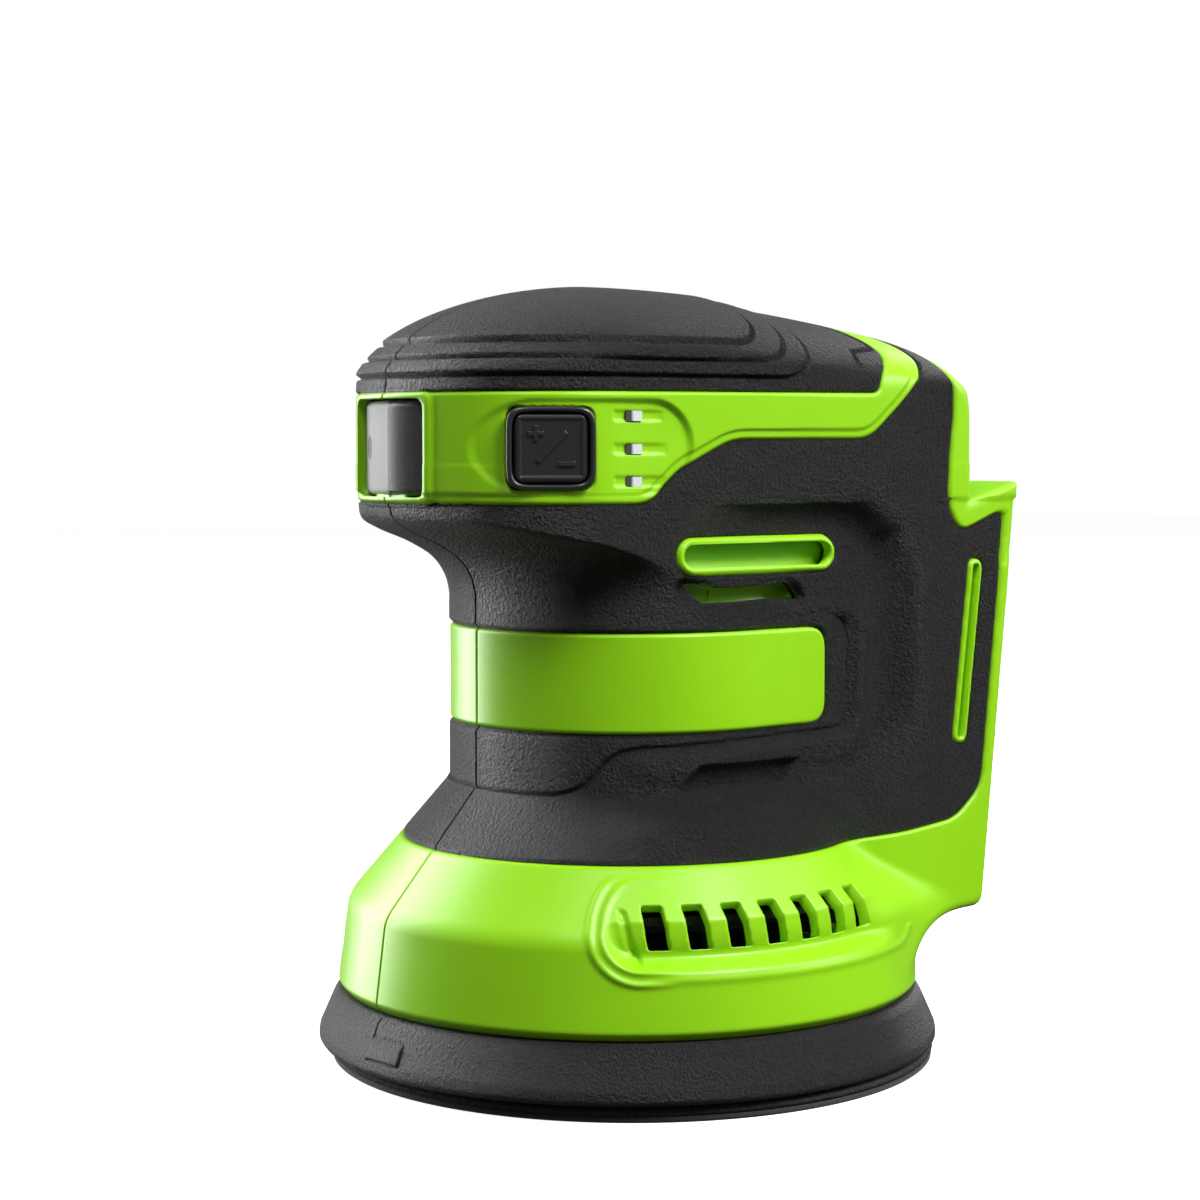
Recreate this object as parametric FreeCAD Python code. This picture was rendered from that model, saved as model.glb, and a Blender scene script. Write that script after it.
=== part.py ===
import FreeCAD, Part
import math
import os

# Cordless random-orbit sander, drawn as separate pieces (all lengths in mm).
# Frame: the motor axis is Z, the sanding face lies in Z = 0, +Z is up.
# +X is the tool's rear (battery foot), -X the front (power switch).
# The housing is split on the plane Y = 0; -Y is the tool's left side.

Vec = FreeCAD.Vector
X_AXIS = Vec(1, 0, 0)
Y_AXIS = Vec(0, 1, 0)
Z_AXIS = Vec(0, 0, 1)
FAR = 200.0

# ---- overall sizes ----
PAD_R = 62.5            # sanding pad
BASE_R = 60.0           # widest radius of the housing's base ring
NECK_R = 36.9           # neck under the palm head
HEAD_FRONT = 56.8       # head's front face, in front of the axis
HEAD_REAR = 59.2        # head's rear wall, behind the axis
SIDE_Y = 40.0           # half width of the foot
FLANK_Y = 35.9          # half width of the head at its front corners
BAND_LOW = 114.5        # head band, lower edge
BAND_TOP = 135.6        # head band, upper edge
TOP_Z = 157.7           # highest point of the palm dome
FOOT_LOW = 29.1         # lower rear corner of the foot

# ---- housing walls ----
WALL = 3.2              # shell wall, soft skin included
SKIN = 1.4              # thickness of the soft overmould
FIT = 0.05              # radial clearance of a running fit
GAP = 0.3               # gap between neighbouring moving pieces

# ---- base ring and neck ----
BASE_LOW = 14.6
BASE_CHAMFER = 1.5
KINK_Z = 34.0
KINK_R = 57.0
WALL_FOOT_R = 57.9
CONE_TOP_Z = 46.0
CONE_TOP_R = 46.8
FLARE_TOP_Z = 56.8
NECK_TOP_Z = 95.0
OGEE = ((38.0, 99.5), (40.6, 103.4), (45.4, 106.3), (51.2, 108.6), (55.2, 111.0))
BAND_NECK_LOW = 69.7
BAND_NECK_TOP = 89.3
BAND_NECK_END = 24.5

# ---- head plan ----
FRONT_ARC_R = 50.0
FRONT_ARC_HALF = 15.0
CORNER_R = 31.0
FLANK_END_X = 35.0
DOME_X = -11.7
DOME_FALL = 9.3
DOME_POWER = 1.8
TERRACES = ((139.3, 19.0), (142.3, 15.0), (145.2, 10.0))
TERRACE_RISE = 0.5

# ---- foot and battery rails ----
FOOT_TIP = (72.7, 118.3)
NOTCH = (HEAD_REAR, 114.3)
FOOT_CORNER = (63.8, FOOT_LOW)
RAIL_DEPTH = 3.0
POCKET_DEPTH = 10.0
POCKET_HALF = 28.0
RAIL_HALF = 24.0
POCKET_LOW = 12.0
RECESS_Y = 36.0
TERMINAL_HALF = 15.0
TERMINAL_LOW = 38.0
TERMINAL_TOP = 72.0

# ---- mechanism ----
ORBIT = 1.2             # offset of the pad axis from the motor axis
SHAFT_R = 4.0
CAN_R = 21.5
CAN_LOW = 47.5
CAN_TOP = 98.0
FAN_R = 40.0
FAN_LOW = 25.0
BEARING_OD_R = 13.0
BEARING_ID_R = 5.0
BEARING_LOW = 15.5
BEARING_H = 8.0
HUB_R = 17.0
HUB_NECK_R = 10.0
MOTOR_BEARING_R = 8.0
MOTOR_BEARING_H = 5.0

# ---- pad stack ----
FACING_H = 1.2
FOAM_TOP = 8.5
PLATE_TOP = 11.5
FLANGE_TOP = 14.5
PAD_UPPER_R = 58.5
PAD_PLATE_R = 56.5
DUST_HOLES = 8
DUST_HOLE_R = 5.0
DUST_CIRCLE_R = 32.5
PAD_SCREWS = 4
PAD_SCREW_CIRCLE = 11.0

# ---- skirt ----
SKIRT_LOW = 3.5
SKIRT_R = 64.2
SKIRT_WALL = 1.8

# ---- controls ----
SWITCH_HALF = 12.2
SWITCH_LOW = 115.8
SWITCH_TOP = 134.6
ROCKER_X = -50.0
BUTTON_ANGLE = 61.4
BUTTON_W = 14.0
BUTTON_H = 13.2
BEZEL_W = 17.0
BEZEL_H = 15.8
BUTTON_Z = 125.2
BUTTON_TRAVEL = 0.9
LED_Z = (131.3, 125.0, 118.8)
LED_X = -23.5
LED_HALF_X = 1.75
LED_HALF_Z = 0.95
CHEEK_IN = 2.4          # switch cheeks, in from the opening's ends
SWITCH_CORNER = 2.0

# ---- vents ----
VENTS = 7
VENT_FIRST = 58.0
VENT_PITCH = 8.4
VENT_W = 4.4
VENT_LOW = 31.8
VENT_TOP = 39.1

# ---- fasteners: X and Z of each housing screw ----
HOUSING_SCREWS = (
    (-49.5, 23.5), (49.0, 23.5), (-29.0, 80.0), (40.5, 60.0), (44.0, 104.0), (-37.0, 110.0), (44.0, 132.0),
)
BOSS_R = 4.3
SCREW_R = 1.5
SCREW_HEAD_R = 2.8

# ---- dust port ----
PORT_X = 35.0
PORT_Z = 30.0
PORT_R = 13.5
PORT_BORE_R = 11.5
PORT_END_Y = 63.0


def prism_xz(points, y0, y1):
    """Solid from a closed outline of (x, z) points, from y0 to y1."""
    loop = [Vec(x, y0, z) for x, z in points]
    face = Part.Face(Part.makePolygon(loop + [loop[0]]))
    return face.extrude(Vec(0, y1 - y0, 0))


def prism_xy(points, z0, z1):
    """Solid from a closed outline of (x, y) points, from z0 to z1."""
    loop = [Vec(x, y, z0) for x, y in points]
    face = Part.Face(Part.makePolygon(loop + [loop[0]]))
    return face.extrude(Vec(0, 0, z1 - z0))


def turned(points):
    """Solid turned about Z from a closed outline of (r, z) points."""
    loop = [Vec(r, 0, z) for r, z in points]
    face = Part.Face(Part.makePolygon(loop + [loop[0]]))
    return face.revolve(Vec(0, 0, 0), Z_AXIS, 360)


def disc(r, z0, z1, x=0.0, y=0.0):
    """Upright cylinder."""
    return Part.makeCylinder(r, z1 - z0, Vec(x, y, z0))


def ring(r0, r1, z0, z1, x=0.0, y=0.0):
    """Upright ring between the radii r0 and r1."""
    return disc(r1, z0, z1, x, y).cut(disc(r0, z0 - 1, z1 + 1, x, y))


def block(x0, x1, y0, y1, z0, z1):
    """Box between two corners."""
    return Part.makeBox(x1 - x0, y1 - y0, z1 - z0, Vec(x0, y0, z0))


def rod_y(r, x, z, y0, y1):
    """Cylinder along Y."""
    return Part.makeCylinder(r, y1 - y0, Vec(x, y0, z), Y_AXIS)


def joined(shapes):
    """Union of a list of solids."""
    first = shapes[0]
    if len(shapes) == 1:
        return first
    return first.fuse(shapes[1:]).removeSplitter()


def rounded(points, radius):
    """Closed wire points with every corner cut by an arc, as an XZ face at Y = 0."""
    edges = []
    count = len(points)
    corners = []
    for i in range(count):
        before = Vec(points[i - 1][0], 0, points[i - 1][1])
        here = Vec(points[i][0], 0, points[i][1])
        after = Vec(points[(i + 1) % count][0], 0, points[(i + 1) % count][1])
        into = (before - here).normalize()
        out = (after - here).normalize()
        half = into.getAngle(out) / 2
        reach = radius / math.tan(half)
        middle = (into + out).normalize()
        apex = here + middle * (radius / math.sin(half) - radius)
        corners.append((here + into * reach, apex, here + out * reach))
    for i in range(count):
        start, apex, end = corners[i]
        edges.append(Part.Arc(start, apex, end).toShape())
        edges.append(Part.makeLine(end, corners[(i + 1) % count][0]))
    return Part.Face(Part.Wire(edges))


def both_sides(face, y0, y1):
    """An XZ face at Y = 0 made into a solid on each side of the middle plane."""
    solid = face.extrude(Vec(0, y1 - y0, 0))
    right = solid.translated(Vec(0, y0, 0))
    left = solid.translated(Vec(0, -y1, 0))
    return right, left


def turned_body(inset):
    """Base ring, cone, flare and neck, moved inwards by inset."""
    slant = inset * math.sqrt(2)
    low = BASE_LOW if inset == 0 else BASE_LOW - 1.0
    edge_r = BASE_R - inset
    start = Vec(edge_r - BASE_CHAMFER, 0, low) if inset == 0 else Vec(edge_r, 0, low)
    edge = Vec(edge_r, 0, BASE_LOW + BASE_CHAMFER)
    wall_top = Vec(WALL_FOOT_R - inset, 0, KINK_Z - 1.6 - 0.4 * inset)
    kink = Vec(KINK_R - inset, 0, KINK_Z - 0.4 * inset)
    cone_top = Vec(CONE_TOP_R - slant, 0, CONE_TOP_Z)
    flare_mid = Vec(NECK_R + 3.4 - inset * 1.2, 0, CONE_TOP_Z + 6.5)
    neck_foot = Vec(NECK_R - inset, 0, FLARE_TOP_Z + inset * 0.4)
    neck_top = Vec(NECK_R - inset, 0, NECK_TOP_Z)
    ogee = Part.BSplineCurve()
    rise = 0.6 * inset
    swell = [Vec(r - inset, 0, z + rise) for r, z in OGEE]
    ogee.interpolate([neck_top] + swell + [Vec(HEAD_FRONT - inset, 0, BAND_LOW)])
    rim = Vec(HEAD_FRONT - inset, 0, BAND_LOW)
    shoulder = Vec(HEAD_FRONT - inset, 0, BAND_TOP)
    centre_top = Vec(0, 0, BAND_TOP)
    centre_low = Vec(0, 0, low)
    edges = [
        Part.makeLine(centre_low, start),
        Part.makeLine(start, edge),
        Part.makeLine(edge, wall_top),
        Part.makeLine(wall_top, kink),
        Part.makeLine(kink, cone_top),
        Part.Arc(cone_top, flare_mid, neck_foot).toShape(),
        Part.makeLine(neck_foot, neck_top),
        ogee.toShape(),
        Part.makeLine(rim, shoulder),
        Part.makeLine(shoulder, centre_top),
        Part.makeLine(centre_top, centre_low),
    ]
    return Part.Face(Part.Wire(edges)).revolve(Vec(0, 0, 0), Z_AXIS, 360)


def plan_points(inset):
    """Head plan: front arc and corner arc centres, and the straight flank."""
    half = math.radians(FRONT_ARC_HALF)
    front_centre = FRONT_ARC_R - HEAD_FRONT
    corner_x = front_centre - (FRONT_ARC_R - CORNER_R) * math.cos(half)
    corner_y = (FRONT_ARC_R - CORNER_R) * math.sin(half)
    return front_centre, corner_x, corner_y, half


def plan_prism(inset, z0, z1, rear_x):
    """Head plan moved inwards by inset and drawn up from z0 to z1."""
    front_centre, corner_x, corner_y, half = plan_points(inset)
    front_r = FRONT_ARC_R - inset
    corner_r = CORNER_R - inset
    tip = Vec(front_centre - front_r, 0, z0)
    flank_y = corner_y + corner_r
    side_y = SIDE_Y - inset

    def join(sign):
        return Vec(front_centre - front_r * math.cos(half), sign * front_r * math.sin(half), z0)

    def corner(sign, degrees):
        angle = math.radians(degrees)
        return Vec(corner_x - corner_r * math.cos(angle), sign * (corner_y + corner_r * math.sin(angle)), z0)

    edges = [Part.Arc(join(-1), tip, join(1)).toShape()]
    for sign in (1, -1):
        run = [
            Part.Arc(join(sign), corner(sign, 55), corner(sign, 90)).toShape(),
            Part.makeLine(Vec(corner_x, sign * flank_y, z0), Vec(FLANK_END_X, sign * side_y, z0)),
            Part.makeLine(Vec(FLANK_END_X, sign * side_y, z0), Vec(rear_x, sign * side_y, z0)),
        ]
        edges += run
    edges.append(Part.makeLine(Vec(rear_x, side_y, z0), Vec(rear_x, -side_y, z0)))
    return Part.Face(Part.Wire(Part.__sortEdges__(edges))).extrude(Vec(0, 0, z1 - z0))


def dome_points(out_size, up_size, x, sign):
    """Points of the dome's rounded quarter section, from its foot to its top."""
    steps = 7
    points = []
    for i in range(steps + 1):
        angle = math.pi / 2 * i / steps
        out = out_size * math.cos(angle) ** (2 / DOME_POWER) if i < steps else 0.0
        up = up_size * math.sin(angle) ** (2 / DOME_POWER)
        points.append(Vec(x, sign * out, BAND_TOP + up))
    return points


def dome_section(width, height, x):
    """Whole cross-section of the dome at x, as a closed wire."""
    sides = []
    for sign in (1, -1):
        points = dome_points(width, height, x, sign)
        curve = Part.BSplineCurve()
        curve.interpolate(points)
        sides.append(curve.toShape())
    foot = Part.makeLine(Vec(x, width, BAND_TOP), Vec(x, -width, BAND_TOP))
    return Part.Wire(Part.__sortEdges__(sides + [foot]))


def dome_form(inset):
    """Palm dome: a rounded front half and a rear half that falls towards the back."""
    length = HEAD_FRONT + DOME_X + 0.9 - inset
    width = SIDE_Y + 1.0 - inset
    height = TOP_Z - TERRACE_RISE * len(TERRACES) - BAND_TOP - inset
    points = dome_points(length, height, DOME_X, 1)
    curve = Part.BSplineCurve()
    curve.interpolate(points)
    centre = Vec(DOME_X, 0, BAND_TOP)
    quarter = Part.Face(Part.Wire([
        curve.toShape(),
        Part.makeLine(points[-1], centre),
        Part.makeLine(centre, points[0]),
    ]))
    front = quarter.revolve(centre, Z_AXIS, 180)
    near = dome_section(width, height, DOME_X)
    across = Part.Face(near).extrude(Vec(-FAR, 0, 0))
    far = dome_section(width, height - DOME_FALL, HEAD_REAR + 1.0)
    rear = Part.makeLoft([near, far], True, True)
    return front.common(across).fuse(rear)


def head_side(inset):
    """Side view limit of the head: its rear wall and rounded rear top corner."""
    rear = HEAD_REAR - inset
    corner_low = Vec(rear, 0, BAND_TOP + 2.9)
    corner_mid = Vec(rear - 2.8, 0, BAND_TOP + 9.9 - inset)
    corner_top = Vec(rear - 9.2, 0, BAND_TOP + 13.6 - inset)
    points = [
        Vec(rear - 16, 0, BAND_TOP + 16 - inset),
        Vec(rear - 30, 0, FAR),
        Vec(-FAR, 0, FAR),
        Vec(-FAR, 0, NECK_TOP_Z - 60),
        Vec(rear, 0, NECK_TOP_Z - 60),
        corner_low,
    ]
    edges = [Part.Arc(corner_low, corner_mid, corner_top).toShape(), Part.makeLine(corner_top, points[0])]
    for i in range(len(points) - 1):
        edges.append(Part.makeLine(points[i], points[i + 1]))
    face = Part.Face(Part.Wire(Part.__sortEdges__(edges)))
    solid = face.extrude(Vec(0, 2 * FAR, 0))
    solid.translate(Vec(0, -FAR, 0))
    return solid


def foot_outline(inset):
    """Side view of the rear block: foot, wedge tip, notch and head wall."""
    low_x = math.sqrt((BASE_R - 1) ** 2 - SIDE_Y ** 2)
    rear = inset
    tip_x, tip_z = FOOT_TIP
    corner_x, corner_z = FOOT_CORNER
    arc_low = Vec(low_x - inset, 0, BASE_LOW + 0.4)
    arc_mid = Vec(low_x + 5.2 - inset, 0, BASE_LOW + 9.4 + inset)
    arc_top = Vec(low_x + 13.6 - inset, 0, FOOT_LOW - 0.7 + inset)
    return arc_low, arc_mid, arc_top, [
        Vec(corner_x - rear, 0, corner_z + inset),
        Vec(tip_x - rear - 2.0 * inset, 0, tip_z - 1.4 * inset),
        Vec(NOTCH[0] - rear, 0, NOTCH[1] - inset),
        Vec(NOTCH[0] - rear, 0, BAND_TOP),
        Vec(0, 0, BAND_TOP),
        Vec(0, 0, BASE_LOW + 0.4),
    ]


def rear_form(inset):
    """Rear block behind the neck: the foot under the head."""
    arc_low, arc_mid, arc_top, points = foot_outline(inset)
    edges = [Part.Arc(arc_low, arc_mid, arc_top).toShape(), Part.makeLine(arc_top, points[0])]
    for i in range(len(points) - 1):
        edges.append(Part.makeLine(points[i], points[i + 1]))
    edges.append(Part.makeLine(points[-1], arc_low))
    face = Part.Face(Part.Wire(edges))
    solid = face.extrude(Vec(0, 2 * SIDE_Y, 0))
    solid.translate(Vec(0, -SIDE_Y, 0))
    return solid.common(plan_prism(inset, 0, TOP_Z, FAR))


def recess_cutter(inset, sign):
    """Grip hollow in one side: a flat floor with sloping walls."""
    floor = [(-30, 62), (34.5, 62), (34.5, 107), (-30, 107)]
    mouth = [(-30, 50), (47, 50), (47, 119), (-30, 119)]
    grow = inset
    floor_wire = rounded(floor, 9 - 0.3 * grow).OuterWire
    mouth_wire = rounded(mouth, 13).OuterWire
    floor_y = RECESS_Y - inset
    mouth_y = SIDE_Y + 0.6 - inset
    floor_wire.translate(Vec(0, sign * floor_y, 0))
    mouth_wire.translate(Vec(0, sign * mouth_y, 0))
    slope = Part.makeLoft([floor_wire, mouth_wire], True, True)
    outside = Part.Face(rounded(mouth, 13).OuterWire).extrude(Vec(0, sign * 12, 0))
    outside.translate(Vec(0, sign * mouth_y, 0))
    return slope.fuse(outside)


def outer_form(inset):
    """Whole housing as one solid, moved inwards by inset."""
    rear = rear_form(inset)
    for sign in (1, -1):
        rear = rear.cut(recess_cutter(inset, sign))
    lower = turned_body(inset)
    head_low = lower.common(plan_prism(inset, 0, BAND_TOP, HEAD_REAR - inset).fuse(disc(FAR, -10, NECK_TOP_Z)))
    head_up = plan_prism(inset, BAND_TOP, FAR, HEAD_REAR - inset).common(dome_form(inset))
    head_up = head_up.common(head_side(inset))
    return joined([head_low, rear, head_up])


def vent_angle(index):
    """Angle of a base vent from the front, in degrees."""
    return VENT_FIRST + VENT_PITCH * index


def base_vents():
    """Cutters for the slanted exhaust slots in both sides of the base."""
    cutters = []
    for index in range(VENTS):
        for sign in (1, -1):
            slot = block(-VENT_W / 2, VENT_W / 2, 48, 66, VENT_LOW, VENT_TOP)
            angle = 90 - vent_angle(index)
            slot.rotate(Vec(0, 0, 0), Z_AXIS, angle)
            if sign < 0:
                slot = slot.mirror(Vec(0, 0, 0), Y_AXIS)
            cutters.append(slot)
    return cutters


def vent_scoops():
    """Shallow hollow around each row of base vents."""
    first = VENT_FIRST - 8
    sweep = VENT_PITCH * (VENTS - 1) + 15
    depth_r = WALL_FOOT_R - 2.4
    loop = [Vec(-depth_r, 0, 29), Vec(-FAR, 0, 29), Vec(-FAR, 0, 43), Vec(-depth_r, 0, 43)]
    face = Part.Face(Part.makePolygon(loop + [loop[0]]))
    scoops = []
    for sign in (1, -1):
        start = face.copy()
        start.rotate(Vec(0, 0, 0), Z_AXIS, -sign * first)
        scoops.append(start.revolve(Vec(0, 0, 0), Z_AXIS, -sign * sweep))
    return scoops


def tilted(shape):
    """Shape drawn in the battery pocket's own frame, set on the foot's rear face.

    Local X is out of the rear face, local Z runs up along it from the lower corner.
    """
    lean = math.degrees(math.atan2(FOOT_TIP[0] - FOOT_CORNER[0], FOOT_TIP[1] - FOOT_CORNER[1]))
    place = FreeCAD.Placement(Vec(FOOT_CORNER[0], 0, FOOT_CORNER[1]), FreeCAD.Rotation(Y_AXIS, lean))
    moved = shape.copy()
    moved.Placement = place.multiply(moved.Placement)
    return moved


def battery_pocket():
    """T-shaped pocket for the battery's rails, open at the top and closed below."""
    throat = block(-POCKET_DEPTH, 10, -RAIL_HALF, RAIL_HALF, POCKET_LOW, FAR)
    under = block(-POCKET_DEPTH, -RAIL_DEPTH, -POCKET_HALF, POCKET_HALF, POCKET_LOW, FAR)
    pocket = tilted(throat.fuse(under))
    roof = block(HEAD_REAR - WALL - 0.1, FAR, -FAR, FAR, NOTCH[1] - 1.0, FAR)
    low = pocket.cut(block(-FAR, HEAD_REAR, -FAR, FAR, NOTCH[1] + 6, FAR))
    return low.cut(block(-FAR, HEAD_REAR - 0.01, -FAR, FAR, NOTCH[1] - 8, FAR))


def grip_region():
    """Side view of the soft grip overmould."""
    outline = [
        (-70, CONE_TOP_Z), (24.2, CONE_TOP_Z), (41.5, 47.1), (56.0, 51.9), (67.7, 112.1), (55.9, 108.1),
        (52.6, 114.3), (54.6, 128.5), (48.5, 140.0), (48.5, 170.0), (41.8, 170.0), (40.7, 138.8),
        (31.5, 126.9), (-1.4, 126.8), (-13.4, 120.9), (-20.0, BAND_LOW), (-70, BAND_LOW),
    ]
    return prism_xz(outline, -FAR, FAR)


def palm_region():
    """Side view of the soft palm overmould."""
    outline = [(-70, BAND_TOP), (35.4, BAND_TOP + 1.4), (37.6, 152), (37.6, 170), (-70, 170)]
    return prism_xz(outline, -FAR, FAR)


def neck_band_region():
    """Hard band left bare on the neck, with rounded ends."""
    ends = [(BAND_NECK_END, BAND_NECK_LOW), (BAND_NECK_END, BAND_NECK_TOP)]
    outline = [(-70, BAND_NECK_LOW)] + ends + [(-70, BAND_NECK_TOP)]
    right, left = both_sides(rounded(outline, 3.0), 0, FAR)
    return right.fuse(left)


def stadium(x0, x1, z0, z1, shrink):
    """XZ face with round ends."""
    r = (z1 - z0) / 2 - shrink
    x0, x1, z0, z1 = x0 + shrink, x1 - shrink, z0 + shrink, z1 - shrink
    points = [(x0, z0), (x1, z0), (x1, z1), (x0, z1)]
    return rounded(points, r * 0.98)


def foot_slot(rim):
    """Upright slot near the rear edge of the foot's side, less a rim."""
    return rounded([(54.6 + rim, 64), (58.4 - rim, 64), (62.6 - rim, 102), (58.8 + rim, 102)], 1.7 - rim)


def skin_slots():
    """Openings in the soft skin that leave the hard shell bare around the slots."""
    upper = stadium(-13.5, 26.4, 100.5, 107.8, 0)
    lower = rounded([(-7.2, 94.7), (17.7, 94.7), (13.9, 98.4), (-12.1, 98.4)], 0.5)
    solids = []
    for face in (upper, lower):
        solids += both_sides(face, 20, 60)
    solids += both_sides(foot_slot(0), SIDE_Y - 2 * SKIN, 60)
    return solids


def shell_slots():
    """Motor air slot through each shell, and the shallow slot in the foot's side."""
    upper = stadium(-13.5, 26.4, 100.5, 107.8, 1.5)
    return list(both_sides(upper, 20, 60)) + list(both_sides(foot_slot(1.0), SIDE_Y - 2 * SKIN, 60))


def button_frame(shape):
    """Shape drawn about the speed button's face, set on the head's left front corner.

    Local X points out of the corner, local Y along it and local Z up.
    """
    front_centre, corner_x, corner_y, half = plan_points(0)
    angle = math.radians(BUTTON_ANGLE)
    centre = Vec(corner_x - CORNER_R * math.cos(angle), -corner_y - CORNER_R * math.sin(angle), BUTTON_Z)
    place = FreeCAD.Placement(centre, FreeCAD.Rotation(Z_AXIS, 180 + BUTTON_ANGLE))
    moved = shape.copy()
    moved.Placement = place.multiply(moved.Placement)
    return moved


def rounded_plate(x0, x1, width, height, radius):
    """Upright plate with rounded corners, centred on local Y and Z."""
    plate = block(x0, x1, -width / 2, width / 2, -height / 2, height / 2)
    corners = [edge for edge in plate.Edges if abs(edge.tangentAt(edge.FirstParameter).x) > 0.9]
    return plate.makeFillet(radius, corners)


def led_boxes(grow, y_in, y_out):
    """Three small windows in the left flank."""
    half_x = LED_HALF_X + grow
    half_z = LED_HALF_Z + grow
    return [block(LED_X - half_x, LED_X + half_x, -y_out, -y_in, z - half_z, z + half_z) for z in LED_Z]


def head_slot(grow):
    """Opening for the power switch in the head's front."""
    half = SWITCH_HALF + grow
    opening = block(-FAR, -40, -half, half, SWITCH_LOW - grow, SWITCH_TOP + grow)
    corners = [edge for edge in opening.Edges if abs(edge.tangentAt(edge.FirstParameter).x) > 0.9]
    return opening.makeFillet(SWITCH_CORNER, corners)


def screw_holes():
    """Pilot holes on the left, clearance holes and counterbores on the right."""
    cutters = []
    for x, z in HOUSING_SCREWS:
        cutters.append(rod_y(SCREW_R, x, z, -14, 1))
        cutters.append(rod_y(SCREW_R + 0.15, x, z, 0, 12))
        cutters.append(rod_y(SCREW_HEAD_R + 0.3, x, z, 8, FAR))
    return cutters


def housing_parts():
    """Two shells, two grip skins and two palm skins."""
    outer = outer_form(0)
    inner_skin = outer_form(SKIN)
    cavity = outer_form(WALL)
    scoops = vent_scoops()
    vents = base_vents()
    pocket = battery_pocket()
    wall_behind = tilted(block(-POCKET_DEPTH - 3.0, 20, -FAR, FAR, 0, FAR))
    side_walls = wall_behind.cut(block(-FAR, FAR, -FAR, FAR, NOTCH[1] + 4, FAR))
    cavity = cavity.cut(side_walls)
    bosses = joined([rod_y(BOSS_R, x, z, -FAR, FAR) for x, z in HOUSING_SCREWS]).common(outer)
    rib_rings = [ring(36.0, 50.0, 40.6, 42.8), ring(36.0, 50.0, 46.2, 48.0), ring(42.0, 56.0, 36.4, 38.2)]
    ribs = joined(rib_rings).common(outer)
    shell = outer.cut(cavity).fuse([bosses, ribs])
    soft = outer.cut(inner_skin)
    grip = soft.common(grip_region()).cut(neck_band_region())
    shell = shell.cut(soft.common(grip_region()).cut(neck_band_region()))
    shell = shell.cut(soft.common(palm_region()))
    head_prism = plan_prism(0, BAND_TOP, FAR, HEAD_REAR)
    levels = [outer.common(palm_region())]
    for level, (z, x) in enumerate(TERRACES):
        outline = rounded([(-90, z), (x, z), (x, 200), (-90, 200)], 9.0)
        zone = outline.extrude(Vec(0, 2 * FAR, 0))
        zone.translate(Vec(0, -FAR, 0))
        raised = dome_form(-TERRACE_RISE * (level + 1)).common(head_prism)
        levels.append(raised.common(zone))
    palm = joined(levels).cut(inner_skin)

    cuts = scoops + vents + screw_holes()
    shell = shell.cut(cuts)
    shell = shell.cut(pocket)
    shell = shell.cut([head_slot(0.2)])
    shell = shell.cut(shell_slots())
    shell = shell.cut(led_boxes(0.1, 20, 60))
    shell = shell.cut(button_frame(rounded_plate(-9, 3, BEZEL_W + 0.2, BEZEL_H + 0.2, 2.2)))
    shell = shell.cut(port_socket() + [terminal_window()])
    grip = grip.cut(skin_slots() + screw_holes())
    grip = grip.cut(pocket)
    palm = palm.cut(screw_holes())

    left = block(-FAR, FAR, -FAR, 0, -FAR, FAR)
    right = block(-FAR, FAR, 0, FAR, -FAR, FAR)
    return {
        "housing_left": shell.common(left),
        "housing_right": shell.common(right),
        "grip_left": grip.common(left),
        "grip_right": grip.common(right),
        "palm_left": palm.common(left),
        "palm_right": palm.common(right),
    }


def port_socket():
    """Hole for the dust port in the base's right side."""
    return [rod_y(PORT_R + 0.05, PORT_X, PORT_Z, 38, FAR)]


def dust_port():
    """Tube that carries the dust out of the base, with a collar inside the wall."""
    tube = rod_y(PORT_R, PORT_X, PORT_Z, 42, PORT_END_Y)
    return tube.cut(rod_y(PORT_BORE_R, PORT_X, PORT_Z, 30, 70)).cut(disc(51.0, 10, 60))


def dust_skirt():
    """Rubber skirt hanging from the base ring around the pad."""
    top_r = BASE_R - 3.4
    outline = [
        (SKIRT_R - 0.7, SKIRT_LOW), (SKIRT_R, SKIRT_LOW + 0.9), (SKIRT_R - 0.3, SKIRT_LOW + 2.0),
        (BASE_R + 0.6, BASE_LOW - 1.2), (BASE_R - 0.4, BASE_LOW - 0.02), (top_r + 1.6, BASE_LOW - 0.02),
        (top_r - WALL + 1.6, BASE_LOW - 0.02), (top_r - WALL + 1.6, BASE_LOW - 1.6), (BASE_R - 1.0, BASE_LOW - 2.4),
        (SKIRT_R - SKIRT_WALL - 0.4, SKIRT_LOW + 2.2), (SKIRT_R - SKIRT_WALL - 0.7, SKIRT_LOW),
    ]
    return turned(outline)


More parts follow.
